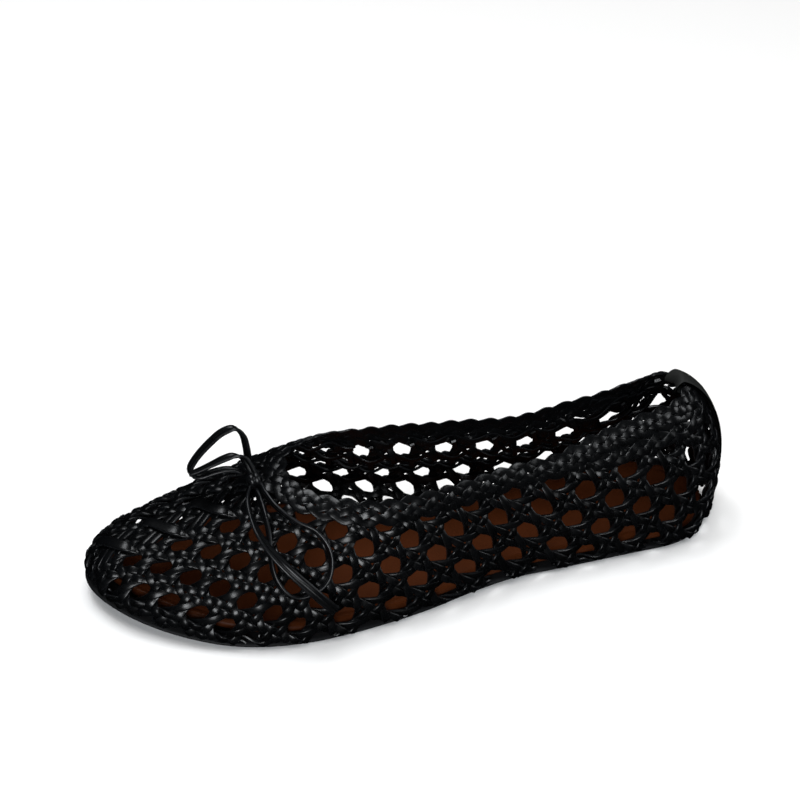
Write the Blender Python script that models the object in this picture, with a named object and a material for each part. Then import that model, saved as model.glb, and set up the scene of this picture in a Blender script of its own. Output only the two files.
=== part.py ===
"""A woven leather ballet flat for the left foot, with a thin lace bow.

Metres, +Z up, +X towards the toe, +Y towards the outer side.
"""

import bmesh
import bpy
import numpy as np
from mathutils import Vector
from mathutils.geometry import delaunay_2d_cdt

MM = 0.001

# Driving sizes of the last, with x measured from the back of the heel
LENGTH = 250 * MM
HEEL_AXIS = 30 * MM  # upright axis that the heel's sections fan round
HEEL_FAN = 45 * MM  # length of the stations that fan round the heel on one side
THROAT = 177 * MM  # front of the opening
COLLAR_WIDEST = 140 * MM  # where the opening is widest
FEATHER_HEIGHT = 3.0 * MM  # line where upper and sole meet
TOE_SPRING = 6.8 * MM
TOE_SPRING_START = 180 * MM
ARCH_RISE = 1.2 * MM
ARCH_FROM = 72 * MM
ARCH_TO = 136 * MM
TOE_SWING = 10 * MM  # how far the toe's tip lies to the inner side
HEEL_BULGE = 2.2 * MM
TOE_CAP_START = 175 * MM
TOE_CAP_POWER = 2.5
TOE_DROP_START = 225 * MM
TOE_DROP_POWER = 2.4
SIDE_POWER = 2.3  # superellipse of a section, sideways and upwards
CROWN_POWER = 2.1
SHOE_MIDDLE = (123.45 * MM, -0.33 * MM)  # middle of the shoe's box, which becomes the origin

# One row for each station along the shoe; those behind HEEL_AXIS fan round the heel.
# lateral, medial: half widths of the sole line; instep: height of the ridge, carried on above the opening;
# collar: height of the opening's edge (all mm). top_row: row of the weave at the collar;
# row_gap: mm between rows; lean: steps by which the weave leans over the height of the wall.
LAST_COLUMNS = ("station", "lateral", "medial", "instep", "collar", "top_row", "row_gap", "lean")
LAST_ROWS = (
    (-15, 30.0, 30.0, 64.8, 62.1, 2.9, 10.4, -2.1),
    (8, 28.4, 28.2, 62.5, 59.9, 2.8, 10.3, -2.1),
    (30, 26.9, 26.5, 60.2, 57.7, 2.5, 10.1, -2.1),
    (55, 27.2, 25.3, 56.4, 53.1, 2.0, 9.8, -2.1),
    (85, 28.0, 23.0, 53.4, 47.2, 1.8, 8.9, -1.9),
    (110, 31.7, 23.9, 57.5, 47.5, 1.9, 8.8, -1.5),
    (132, 36.0, 26.5, 61.7, 48.9, 2.1, 8.7, -1.0),
    (150, 39.1, 30.8, 58.7, 48.9, 2.05, 8.6, -0.5),
    (165, 41.0, 34.8, 52.9, 48.9, 2.0, 8.6, 0.0),
    (177, 41.9, 36.8, 48.6, 48.6, 2.0, 8.3, 0.0),
    (200, 41.5, 38.6, 37.0, 37.0, 2.0, 7.65, 0.0),
    (225, 38.7, 37.4, 24.8, 24.8, 2.0, 6.75, 0.0),
    (250, 34.6, 33.5, 17.4, 17.4, 2.0, 6.1, 0.0),
)

# The inner side has its own weave, and its wall swells out over the narrow waist of the sole.
# swell: mm at the widest place; neck: share by which the wall's top stands upright;
# shift: steps along the shoe.
INNER_COLUMNS = ("station", "swell", "neck", "top_row", "row_gap", "lean", "shift")
INNER_ROWS = (
    (-15, 0.0, 0.0, 2.9, 10.4, -2.1, 0.0),
    (8, 0.0, 0.0, 2.75, 10.3, -2.1, 0.3),
    (30, 0.0, 0.6, 2.0, 9.7, -2.1, 0.9),
    (55, 0.5, 1.0, 1.2, 8.7, -2.0, 1.35),
    (85, 2.5, 1.0, 1.45, 8.3, -1.3, 1.05),
    (110, 4.0, 1.0, 1.55, 8.1, -1.2, 0.65),
    (132, 5.5, 1.0, 1.65, 8.1, -1.4, 0.2),
    (150, 6.5, 0.5, 1.65, 8.1, -1.2, -0.25),
    (165, 4.5, 0.0, 1.6, 8.1, -0.6, -0.4),
    (177, 2.5, 0.0, 1.8, 8.2, 0.0, -0.1),
    (200, 0.0, 0.0, 2.0, 7.65, 0.0, 0.0),
    (225, 0.0, 0.0, 2.0, 6.75, 0.0, 0.0),
    (250, 0.0, 0.0, 2.0, 6.1, 0.0, 0.0),
)
# Where the swell is full, where it has gone again, and where the upright top begins,
# as shares of the wall's height
SWELL_FULL = 0.2
SWELL_TOP = (0.45, 0.9)
NECK_FROM = (0.30, 0.75)

# The weave: holes lie where step + row is odd
RIDGE_ROW = -0.5
STEP_PITCH = 9.3 * MM
ROW_PITCH = 8.6 * MM
STEP_ZERO = 165.8 * MM
RIDGE_ROWS_PER_M = 112
ROW_SOFTNESS = 0.25
GRID_STEPS = np.arange(-13.0, 22.0, 0.08)
GRID_ROWS = np.arange(0.0, 9.6, 0.08)
HOLE_SIZE = 0.42  # half the width of an octagonal hole, in steps and rows
HOLE_CORNER = 0.18
RING_SIZE = 1.32  # the raised ring of strips round a hole, as a share of the hole
LEAST_HOLE = 0.6  # a hole cut by a border is left out below this share of its area
CUT_SPREAD = 0.08  # keeps the corners of a cut hole apart
SEAM_CLEAR = 0.6  # steps kept free of holes beside the back seam

# The wall, measured from the last's surface, outwards positive
HOLE_EDGE = -0.6 * MM
STRIP_CROWN = 0.4 * MM
STRIP_JOIN = 0.0 * MM
WALL_INSIDE = -1.8 * MM
BORDER_CROWN = 0.9 * MM
COLLAR_WIDTH = 10 * MM
EDGE_WIDTH = 1.6 * MM
EDGE_CROWN = 0.3 * MM
BORDER_SLOPE = 0.9 * MM
BORDER_POINT_GAP = 6.5 * MM
TOUCH_GAP = 0.3 * MM
SOLE_GAP = 0.5 * MM

INSOLE_INSET = 3.3 * MM
INSOLE_TOE_INSET = 6.5 * MM
SOLE_STATIONS = 40
# Half of the insole's section: distance in from its edge and height, in mm
INSOLE_PROFILE = ((1.2, 0.0), (0.0, 1.4), (0.3, 2.6), (1.6, 3.5), (8.0, 3.4))
INSOLE_DISH = 2.9  # height of its middle line
INSOLE_FULL_HALF = 12 * MM  # the section shrinks where half the insole is narrower than this

STRIP_WIDTH = 9 * MM
STRIP_THICKNESS = 1.0 * MM
STRIP_INSIDE_LENGTH = 26 * MM
STRIP_INSIDE_GAP = 1.1 * MM
STRIP_OUTSIDE_GAP = 0.6 * MM

LACE_WIDTH = 3.3 * MM
LACE_THICKNESS = 1.0 * MM
LACE_TUBE = 1.1 * MM  # radius of the plain tubes that stand for the bow's flat lace
FLOAT_STEPS = (-8.5, -6.5, -4.5)  # where the lace crosses the ridge
FLOAT_HALF = (0.68, 0.80)  # half a float in steps and rows
KNOT_AT = (188.6, -0.8, 47.4)
KNOT_HALF = (3.0, 3.4, 2.4)

# Routes of the bow, in mm from the back of the heel and the middle line, above the floor
BOW_ROUTES = {
    "bow_loop_left": (
        (188.6, -4.6, 48.9), (189.2, -6.3, 52.6), (189.6, -7.4, 57.6), (190.6, -8.8, 62.4),
        (193.3, -10.2, 64.9), (197.4, -11.4, 63.2), (201.4, -12.0, 59.5), (205.8, -12.5, 54.3),
        (208.8, -12.6, 49.6), (209.4, -12.3, 47.0), (208.2, -11.8, 45.1), (205.6, -11.2, 44.9),
        (201.8, -10.4, 46.4), (197.4, -9.2, 47.8), (193.6, -7.2, 48.2), (191.4, -5.0, 47.8),
    ),
    "lace_tail_left": (
        (189.0, 0.2, 50.4), (190.2, -1.3, 53.8), (192.0, -2.9, 56.6), (195.0, -4.3, 57.2),
        (198.2, -5.3, 56.0), (202.2, -6.4, 53.6), (205.6, -7.2, 51.6), (208.6, -7.9, 50.0),
        (210.2, -8.4, 49.2),
    ),
    "bow_loop_right": (
        (187.4, 3.4, 47.9), (186.8, 8.0, 47.6), (184.6, 15.0, 46.2), (179.7, 22.3, 44.2),
        (174.1, 27.2, 42.6), (170.9, 31.8, 38.8), (170.2, 35.0, 34.2), (171.6, 37.6, 29.2),
        (174.8, 39.0, 25.8), (179.2, 39.3, 23.9), (183.3, 38.9, 23.1), (187.2, 37.3, 24.9),
        (189.9, 34.1, 28.8), (190.7, 30.6, 32.6), (190.3, 26.9, 36.0), (189.3, 21.0, 40.6),
        (189.0, 13.4, 44.0), (188.9, 7.0, 45.4), (189.0, 4.0, 45.6),
    ),
    "lace_tail_right": (
        (191.4, 3.2, 46.0), (193.4, 9.0, 45.2), (193.6, 17.0, 42.6), (192.3, 24.4, 40.2),
        (189.6, 30.2, 37.2), (185.2, 35.6, 33.0), (179.6, 40.0, 27.6), (174.8, 42.2, 22.4),
        (170.6, 43.0, 17.6),
    ),
}
ROUTE_POINT_GAP = 2.4 * MM

BLACK_LEATHER = (0.012, 0.013, 0.015)
MATTE_BLACK = (0.020, 0.020, 0.022)
SOLE_BLACK = (0.015, 0.014, 0.014)
COGNAC = (0.19, 0.065, 0.022)


def smooth(knots, values, at):
    """Monotone cubic through a table's values."""
    gap = np.diff(knots)
    slope = np.diff(values) / gap
    before = slope[:-1]
    after = slope[1:]
    same = before * after > 0
    near = 2 * gap[1:] + gap[:-1]
    far = gap[1:] + 2 * gap[:-1]
    weight = np.where(same, near * after + far * before, 1)
    tangent = np.zeros(len(knots))
    tangent[1:-1] = np.where(same, (near + far) * before * after / weight, 0)
    tangent[0] = slope[0]
    tangent[-1] = slope[-1]
    at = np.clip(at, knots[0], knots[-1])
    i = np.clip(np.searchsorted(knots, at) - 1, 0, len(gap) - 1)
    t = (at - knots[i]) / gap[i]
    ends = values[i] * (1 + 2 * t) * (1 - t) ** 2 + values[i + 1] * t**2 * (3 - 2 * t)
    return ends + gap[i] * t * (1 - t) * (tangent[i] * (1 - t) - tangent[i + 1] * t)


def last_column(name, station, side=1):
    """A column of the last's table, or of the inner side's own one."""
    own = side < 0 and name in INNER_COLUMNS
    table = np.array(INNER_ROWS if own else LAST_ROWS, float)
    columns = INNER_COLUMNS if own else LAST_COLUMNS
    return smooth(table[:, 0] * MM, table[:, columns.index(name)], station)


def gentle(low, high, at):
    """Smooth step from 0 at low to 1 at high."""
    t = np.clip((at - low) / (high - low), 0, 1)
    return t**2 * (3 - 2 * t)


def feather_height(x):
    """Height of the line where upper and sole meet: a slight arch and the toe spring."""
    spring = np.clip((x - TOE_SPRING_START) / (LENGTH - TOE_SPRING_START), 0, 1) ** 2
    arch = np.sin(np.pi * np.clip((x - ARCH_FROM) / (ARCH_TO - ARCH_FROM), 0, 1)) ** 2
    return FEATHER_HEIGHT + TOE_SPRING * spring + ARCH_RISE * arch


def centre_line(x):
    """The shoe's middle line swings to the inner side towards the toe."""
    return -TOE_SWING * np.clip(2 * x / LENGTH - 1, 0, 1) ** 2


def half_width(station, side):
    """Half width of the sole line on one side, rounded in at the toe."""
    full = last_column("lateral" if side > 0 else "medial", station) * MM
    reach = np.clip((station - TOE_CAP_START) / (LENGTH - TOE_CAP_START), 0, 1)
    return full * np.sqrt(np.clip(1 - reach**TOE_CAP_POWER, 0, 1))


def swollen(out, up, collar, station):
    """Half widths of the inner wall: upright at the collar, swollen below it."""
    at_collar = np.array([np.interp(-c, -u, o) for c, u, o in zip(collar, up, out)])[:, None]
    share = np.clip(up / collar[:, None], 0, 1)
    swell = last_column("swell", station, -1)[:, None] * MM
    neck = last_column("neck", station, -1)[:, None] * gentle(*NECK_FROM, share)
    wall = out + swell * gentle(0, SWELL_FULL, share) * (1 - gentle(*SWELL_TOP, share))
    return np.where(up < collar[:, None], at_collar * neck + wall * (1 - neck), out)


def sections(station, side, count=120):
    """Points of each section from the ridge to the sole line, their arcs, and the arc at the collar."""
    x = np.maximum(station, HEEL_AXIS)
    turn = np.clip((HEEL_AXIS - station) / HEEL_FAN, 0, 1)[:, None] * np.pi / 2
    drop = np.clip((station - TOE_DROP_START) / (LENGTH - TOE_DROP_START), 0, 1) ** TOE_DROP_POWER
    rise = (last_column("instep", station) * MM - FEATHER_HEIGHT) * np.sqrt(np.clip(1 - drop, 0, 1))
    collar = np.minimum(last_column("collar", station) * MM - FEATHER_HEIGHT, rise)
    angle = np.linspace(np.pi / 2, 0, count)
    up = rise[:, None] * np.sin(angle) ** (2 / CROWN_POWER)
    out = half_width(station, side)[:, None] * np.abs(np.cos(angle)) ** (2 / SIDE_POWER)
    out = out + HEEL_BULGE * np.sin(np.pi * np.clip(up / collar[:, None], 0, 1)) * np.sin(turn) ** 2
    if side < 0:
        out = swollen(out, up, collar, station)
    along = x[:, None] - np.sin(turn) * out
    across = centre_line(x)[:, None] + side * np.cos(turn) * out
    points = np.stack([along, across, feather_height(x)[:, None] + up], -1)
    arc = np.zeros(up.shape)
    arc[:, 1:] = np.cumsum(np.linalg.norm(np.diff(points, axis=1), axis=2), axis=1)
    collar_arc = np.array([np.interp(-c, -u, a) for c, u, a in zip(collar, up, arc)])
    return points, arc, np.where(station < THROAT, collar_arc, 0)


class Sheet:
    """The upper as a woven sheet: (step, row) of the weave to points of the last's surface.

    Steps run towards the heel, rows down from the ridge; rows of the inner side mirror about RIDGE_ROW.
    """

    def __init__(self):
        toe_part = 215 * MM
        rear = np.arange(HEEL_AXIS - HEEL_FAN, toe_part, 1 * MM)
        toe = toe_part + (LENGTH - 0.02 * MM - toe_part) * np.sin(np.linspace(0, np.pi / 2, 70))
        self.station = np.concatenate([rear, toe])
        self.tables = {}
        rows = RIDGE_ROW + GRID_ROWS
        outer = self.side_block(1, rows)
        inner = self.side_block(-1, rows)
        self.points = np.concatenate([inner[:, :0:-1], outer], axis=1)
        self.rows = np.concatenate([2 * RIDGE_ROW - rows[:0:-1], rows])
        along = np.gradient(self.points, GRID_STEPS, axis=0)
        across = np.gradient(self.points, self.rows, axis=1)
        normal = np.cross(across, along)
        length = np.linalg.norm(normal, axis=2, keepdims=True)
        self.normals = normal / np.maximum(length, 1e-12)

    def side_block(self, side, rows):
        """Points of one side on the grid of steps and rows."""
        station = self.station
        points, arc, collar_arc = sections(station, side)
        gap = last_column("row_gap", station, side) * MM
        near_throat = np.where(station > COLLAR_WIDEST, collar_arc, LENGTH)
        from_ridge = np.exp(-(RIDGE_ROW + RIDGE_ROWS_PER_M * near_throat) / ROW_SOFTNESS)
        from_table = np.exp(-last_column("top_row", station, side) / ROW_SOFTNESS)
        top = np.maximum(-ROW_SOFTNESS * np.log(from_ridge + from_table), RIDGE_ROW)
        top = np.where(station < THROAT, top, RIDGE_ROW)
        slope = np.gradient(points[:, 0, 2], station)
        stretch = np.where(station >= THROAT, np.sqrt(1 + slope**2), 1)
        length = np.zeros(len(station))
        length[1:] = np.cumsum(np.diff(station) * (stretch[1:] + stretch[:-1]) / 2)
        length -= np.interp(STEP_ZERO, station, length)
        if side < 0:
            length -= last_column("shift", station, side) * STEP_PITCH
        table = {"top": top, "gap": gap, "wall": arc[:, -1] - collar_arc, "length": length}
        table["lean"] = last_column("lean", station, side)
        self.tables[side] = table
        grid = np.empty((len(station), len(rows), 3))
        step = np.empty(grid.shape[:2])
        for i in range(len(station)):
            down = (rows - top[i]) * gap[i]
            for k in range(3):
                grid[i, :, k] = np.interp(collar_arc[i] + down, arc[i], points[i, :, k])
            grid[i, :, 2] -= np.maximum(down - table["wall"][i], 0)
            step[i] = self.step_at(side, i, down)
        block = np.empty((len(GRID_STEPS), len(rows), 3))
        for j in range(len(rows)):
            order = np.argsort(step[:, j])
            for k in range(3):
                block[:, j, k] = np.interp(GRID_STEPS, step[order, j], grid[order, j, k])
        return block

    def step_at(self, side, index, down):
        table = self.tables[side]
        share = np.clip(down / np.maximum(table["wall"][index], 1 * MM), -0.5, 1.5)
        return table["lean"][index] * (share - 0.5) - table["length"][index] / STEP_PITCH

    def weave_at(self, side, index, down):
        """(step, row) at stations by index, a distance below the collar or the ridge."""
        table = self.tables[side]
        row = table["top"][index] + down / table["gap"][index]
        signed = row if side > 0 else 2 * RIDGE_ROW - row
        return np.stack([self.step_at(side, index, down), signed], -1)

    def look(self, array, at):
        """Bilinear value of a grid at (step, row) pairs."""
        size = GRID_STEPS[1] - GRID_STEPS[0]
        u = np.clip((at[..., 0] - GRID_STEPS[0]) / size, 0, len(GRID_STEPS) - 1.001)
        v = np.clip((at[..., 1] - self.rows[0]) / size, 0, len(self.rows) - 1.001)
        i = u.astype(int)
        j = v.astype(int)
        a = (u - i)[..., None]
        b = (v - j)[..., None]
        low = array[i, j] * (1 - a) + array[i + 1, j] * a
        high = array[i, j + 1] * (1 - a) + array[i + 1, j + 1] * a
        return low * (1 - b) + high * b

    def place(self, at, height=0.0):
        """Points of the sheet at (step, row) pairs, raised along the normal."""
        at = np.asarray(at, float)
        normal = self.look(self.normals, at)
        normal = normal / np.maximum(np.linalg.norm(normal, axis=-1, keepdims=True), 1e-9)
        return self.look(self.points, at) + normal * np.asarray(height)[..., None]


def clear_scene():
    for obj in list(bpy.data.objects):
        bpy.data.objects.remove(obj, do_unlink=True)


def material(name, colour, roughness):
    made = bpy.data.materials.new(name)
    made.use_nodes = True
    shader = made.node_tree.nodes["Principled BSDF"]
    shader.inputs["Base Color"].default_value = (*colour, 1)
    shader.inputs["Roughness"].default_value = roughness
    shader.inputs["Metallic"].default_value = 0
    return made


def centred(points):
    """Points moved so that the middle of the shoe's box stands on the origin."""
    return np.asarray(points, float) - np.array([*SHOE_MIDDLE, 0])


def add_mesh(name, points, faces, look, collection):
    """A closed mesh object with its faces turned outwards."""
    mesh = bpy.data.meshes.new(name)
    mesh.from_pydata([tuple(p) for p in centred(points)], [], [tuple(int(i) for i in f) for f in faces])
    form = bmesh.new()
    form.from_mesh(mesh)
    bmesh.ops.recalc_face_normals(form, faces=form.faces)
    form.to_mesh(mesh)
    form.free()
    mesh.materials.append(look)
    mesh.shade_smooth()
    mesh.set_sharp_from_angle(angle=np.radians(40))
    obj = bpy.data.objects.new(name, mesh)
    collection.objects.link(obj)
    return obj


def flat(at):
    """(step, row) pairs as lengths on the flattened sheet."""
    return np.asarray(at, float) * np.array([STEP_PITCH, ROW_PITCH])


def spaced(line, gap):
    """A line of (step, row) pairs again, with points about a gap apart."""
    along = np.zeros(len(line))
    along[1:] = np.cumsum(np.linalg.norm(np.diff(flat(line), axis=0), axis=1))
    at = np.linspace(0, along[-1], max(2, round(along[-1] / gap) + 1))
    return np.stack([np.interp(at, along, line[:, k]) for k in range(2)], -1)


def eased(line, reach=9):
    """A line of (step, row) pairs with its small kinks smoothed away."""
    fine = spaced(line, 1 * MM)
    ends = np.concatenate([2 * fine[:1] - fine[reach:0:-1], fine, 2 * fine[-1:] - fine[-2 : -2 - reach : -1]])
    window = np.ones(2 * reach + 1) / (2 * reach + 1)
    return np.stack([np.convolve(ends[:, k], window, "valid") for k in range(2)], -1)


def loop_area(loop):
    """Area inside a closed loop of pairs."""
    after = np.roll(loop, -1, axis=0)
    return abs(np.sum(loop[:, 0] * after[:, 1] - loop[:, 1] * after[:, 0])) / 2


def beside(line, distance):
    """A line of (step, row) pairs moved sideways on the flattened sheet."""
    way = np.gradient(flat(line), axis=0)
    way = way / np.linalg.norm(way, axis=1, keepdims=True)
    aside = np.stack([way[:, 1], -way[:, 0]], -1) * distance
    return line + aside / np.array([STEP_PITCH, ROW_PITCH])


class Upper:
    """Outline, borders and holes of the upper, worked out on the flattened sheet."""

    def __init__(self, sheet):
        self.sheet = sheet
        open_part = np.flatnonzero(sheet.station <= THROAT)
        whole = np.arange(len(sheet.station))
        collar = [sheet.weave_at(side, open_part, 0 * open_part) for side in (1, -1)]
        feather = [sheet.weave_at(side, whole, sheet.tables[side]["wall"]) for side in (1, -1)]
        front = np.array([[collar[0][-1, 0], RIDGE_ROW]])
        self.collar = eased(np.concatenate([collar[0], front, collar[1][::-1]]))
        self.feather = eased(np.concatenate([feather[0], feather[1][::-1]]), 4)
        wall = sheet.tables[1]["wall"][0]
        inset = {
            "collar": 0,
            "collar_middle": COLLAR_WIDTH / 2,
            "collar_crown": COLLAR_WIDTH,
            "collar_foot": COLLAR_WIDTH + BORDER_SLOPE,
            "edge_foot": wall - EDGE_WIDTH - BORDER_SLOPE,
            "edge_crown": wall - EDGE_WIDTH,
            "feather": wall,
        }
        self.lines = {
            "collar": self.border(self.collar, 0, inset["collar"]),
            "collar_middle": self.border(self.collar, COLLAR_WIDTH / 2, inset["collar_middle"]),
            "collar_crown": self.border(self.collar, COLLAR_WIDTH, inset["collar_crown"]),
            "collar_foot": self.border(self.collar, COLLAR_WIDTH + BORDER_SLOPE, inset["collar_foot"]),
            "edge_foot": self.border(self.feather, -EDGE_WIDTH - BORDER_SLOPE, inset["edge_foot"]),
            "edge_crown": self.border(self.feather, -EDGE_WIDTH, inset["edge_crown"]),
            "feather": self.border(self.feather, 0, inset["feather"]),
        }

    def border(self, line, aside, down):
        """A border's line, its two ends set on the back seam."""
        moved = spaced(beside(line, aside), BORDER_POINT_GAP)
        moved[0] = self.sheet.weave_at(1, 0, down)
        moved[-1] = self.sheet.weave_at(-1, 0, down)
        return moved

    def row_limits(self, name, side, step, missing):
        """Row of a border's line at each step on one side."""
        line = spaced(self.lines[name], 1 * MM)
        line = line[line[:, 1] >= RIDGE_ROW] if side > 0 else line[line[:, 1] <= RIDGE_ROW]
        order = np.argsort(line[:, 0])
        return np.interp(step, line[order, 0], line[order, 1], left=missing)

    def seam_step(self, row):
        """Step of the back seam at each row."""
        wall = self.sheet.tables[1]["wall"][0]
        ends = self.sheet.weave_at(1, 0, np.array([0, wall]))
        depth = np.abs(row - RIDGE_ROW) + RIDGE_ROW
        share = (depth - ends[0, 1]) / (ends[1, 1] - ends[0, 1])
        return ends[0, 0] + share * (ends[1, 0] - ends[0, 0])

    def inside(self, at, margin):
        """Which (step, row) pairs lie between the borders by a margin in rows, and clear of the back seam."""
        at = np.asarray(at, float)
        kept = np.zeros(len(at), bool)
        for side in (1, -1):
            mine = side * (at[:, 1] - RIDGE_ROW) >= 0
            top = self.row_limits("collar_foot", side, at[:, 0], RIDGE_ROW - side)
            low = self.row_limits("edge_foot", side, at[:, 0], RIDGE_ROW - side)
            clear = (side * (at[:, 1] - top) > margin) & (side * (low - at[:, 1]) > margin)
            kept |= mine & clear
        return kept & (at[:, 0] < self.seam_step(at[:, 1]) - SEAM_CLEAR)

    def holes(self):
        """Octagons of (step, row) pairs, cut short by the borders."""
        corner = np.array([(HOLE_SIZE, HOLE_CORNER), (HOLE_CORNER, HOLE_SIZE)])
        octagon = np.concatenate([corner, corner[::-1] * (-1, 1), -corner, corner[::-1] * (1, -1)])
        margin = 0.09
        found = []
        for step in range(-11, 21):
            for row in range(-10, 10):
                if (step + row) % 2 == 0:
                    continue
                side = 1 if row > RIDGE_ROW else -1
                ring = octagon + (step, row)
                top = self.row_limits("collar_foot", side, ring[:, 0], RIDGE_ROW - side)
                low = self.row_limits("edge_foot", side, ring[:, 0], RIDGE_ROW - side)
                depth = side * ring[:, 1]
                cut = np.clip(depth, side * top + margin, np.maximum(side * low - margin, side * top))
                ring[:, 1] = side * (cut + CUT_SPREAD * (depth - cut))
                large = loop_area(ring) > LEAST_HOLE * loop_area(octagon)
                if large and self.inside(ring, margin / 2).all():
                    found.append(ring)
        return found


def inside_loop(points, loop):
    """Even-odd test of points against a closed loop."""
    x = points[:, 0][:, None]
    y = points[:, 1][:, None]
    ax, ay = loop.T
    bx, by = np.roll(loop, -1, axis=0).T
    level = np.where(by == ay, 1e-30, by - ay)
    crossed = ((ay > y) != (by > y)) & (x < ax + (y - ay) * (bx - ax) / level)
    return crossed.sum(axis=1) % 2 == 1


def triangles_between(loops, lines, loose):
    """Delaunay triangles inside the first loop and outside the others, on all the points in order."""
    points = np.concatenate([*loops, *lines, loose])
    edges = []
    start = 0
    for loop in loops:
        count = len(loop)
        edges += [(start + i, start + (i + 1) % count) for i in range(count)]
        start += count
    for line in lines:
        edges += [(start + i, start + i + 1) for i in range(len(line) - 1)]
        start += len(line)
    on_sheet = flat(points) / MM
    made, _, faces, given, _, _ = delaunay_2d_cdt([Vector(p) for p in on_sheet], edges, [], 0, 1e-5)
    if len(made) != len(points):
        raise ValueError("lines of the upper cross or touch")
    source = np.array([g[0] for g in given])
    faces = source[np.array([tuple(f) for f in faces])]
    middle = on_sheet[faces].mean(axis=1)
    kept = inside_loop(middle, flat(loops[0]) / MM)
    for hole in loops[1:]:
        kept &= ~inside_loop(middle, flat(hole) / MM)
    return points, faces[kept]


def add_upper(sheet, look, collection):
    """The woven upper: one wall with raised strips, holes cut through it, and thicker borders."""
    upper = Upper(sheet)
    lines = upper.lines
    seam_rows = ("collar_middle", "collar_crown", "collar_foot", "edge_foot", "edge_crown")
    border_height = (BORDER_CROWN, BORDER_CROWN, STRIP_JOIN, STRIP_JOIN, EDGE_CROWN)
    foot = COLLAR_WIDTH + BORDER_SLOPE
    reach = sheet.tables[1]["wall"][0] - EDGE_WIDTH - BORDER_SLOPE - foot
    middle = foot + reach * np.array([0.25, 0.5, 0.75])
    seams = {}
    for side, end in ((1, 0), (-1, -1)):
        ends = [lines[name][end] for name in seam_rows]
        seams[side] = np.array([*ends[:3], *[sheet.weave_at(side, 0, d) for d in middle], *ends[3:]])
    outline = np.concatenate([lines["collar"], seams[-1], lines["feather"][::-1], seams[1][::-1]])
    holes = upper.holes()
    loops = [outline, *holes]
    border_lines = [lines[name][1:-1] for name in seam_rows]

    cells = [(s, r) for s in range(-11, 21) for r in range(-10, 10) if (s + r) % 2 == 0]
    joins = np.array([(s + 0.5, r + 0.5) for s in range(-11, 21) for r in range(-10, 10)])
    cells = np.array(cells, float)
    cells = cells[upper.inside(cells, 0.25)]
    joins = joins[upper.inside(joins, 0.25)]
    rings = [h.mean(axis=0) + (h - h.mean(axis=0)) * RING_SIZE for h in holes]
    rings = np.concatenate(rings)
    rings = rings[upper.inside(rings, 0.06)]

    outer_loose = np.concatenate([cells, joins, rings])
    outer_points, outer_faces = triangles_between(loops, border_lines, outer_loose)
    inner_loose = np.concatenate([cells, border_lines[0], border_lines[1], border_lines[4]])
    inner_points, inner_faces = triangles_between(loops, [], inner_loose)

    rim = sum(len(loop) for loop in loops)
    height = np.full(len(outer_points), HOLE_EDGE)
    height[: len(outline)] = BORDER_CROWN
    seam_height = [*border_height[:3], *[STRIP_JOIN] * len(middle), *border_height[3:]]
    first = len(lines["collar"])
    height[first : first + len(seam_height)] = seam_height
    height[first + len(seam_height) : len(outline) - len(seam_height)] = EDGE_CROWN
    height[len(outline) - len(seam_height) : len(outline)] = seam_height[::-1]
    line_height = [[h] * len(line) for h, line in zip(border_height, border_lines)]
    loose_height = [[STRIP_JOIN] * (len(cells) + len(joins)), [STRIP_CROWN] * len(rings)]
    height[rim:] = np.concatenate([*line_height, *loose_height])

    outside = sheet.place(outer_points, height)
    inside = sheet.place(inner_points, np.full(len(inner_points), WALL_INSIDE))
    points = np.concatenate([outside, inside])
    shift = len(outside)
    faces = [*outer_faces, *(inner_faces + shift)]
    start = 0
    for loop in loops:
        count = len(loop)
        for i in range(count):
            a = start + i
            b = start + (i + 1) % count
            faces.append((a, b, shift + b, shift + a))
        start += count

    # The two ends of the sheet meet in the back seam
    seam_count = len(seam_height)
    inner_side = list(range(first - 1, first + seam_count + 1))
    outer_side = [0, *range(len(outline) - 1, len(outline) - 1 - seam_count, -1)]
    outer_side.append(len(outline) - 1 - seam_count)
    same = {}
    for a, b in zip(inner_side, outer_side):
        same[a] = b
        same[a + shift] = b + shift
        points[[b, b + shift], 1] = 0
    seam = set(same) | set(same.values())
    kept = []
    for face in faces:
        if len(face) == 4 and all(i in seam for i in face):
            continue
        kept.append([same.get(int(i), int(i)) for i in face])
    used = sorted({i for face in kept for i in face})
    order = {old: new for new, old in enumerate(used)}
    kept = [[order[i] for i in face] for face in kept]
    return add_mesh("upper", points[used], kept, look, collection), len(holes)


def sole_outline(x, inset):
    """Outer and inner edge of the sole at each x, moved in from the sole line."""
    edges = []
    round_heel = np.sqrt(np.clip(1 - (np.clip(HEEL_AXIS - x, 0, None) / HEEL_AXIS) ** 2, 0, 1))
    for side in (1, -1):
        width = half_width(np.maximum(x, HEEL_AXIS), side) * round_heel
        edges.append(centre_line(x) + side * np.maximum(width - inset, 0))
    return edges


def add_ladder(name, x, ring_of, look, collection):
    """A loft along x of closed rings, drawn to a point at both ends."""
    rings = [ring_of(i) for i in range(len(x))]
    count = len(rings[0])
    points = [rings[0].mean(axis=0)]
    for ring in rings[1:-1]:
        points += list(ring)
    points.append(rings[-1].mean(axis=0))
    faces = []
    last = len(points) - 1
    for k in range(count):
        after = (k + 1) % count
        faces.append((0, 1 + k, 1 + after))
        faces.append((last, last - count + after, last - count + k))
        for i in range(len(rings) - 3):
            a = 1 + i * count
            b = a + count
            faces.append((a + k, b + k, b + after, a + after))
    return add_mesh(name, points, faces, look, collection)


def sole_stations(start, end):
    """x along the sole, closer together at heel and toe."""
    return start + (end - start) * (0.5 - 0.5 * np.cos(np.linspace(0, np.pi, SOLE_STATIONS)))


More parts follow.
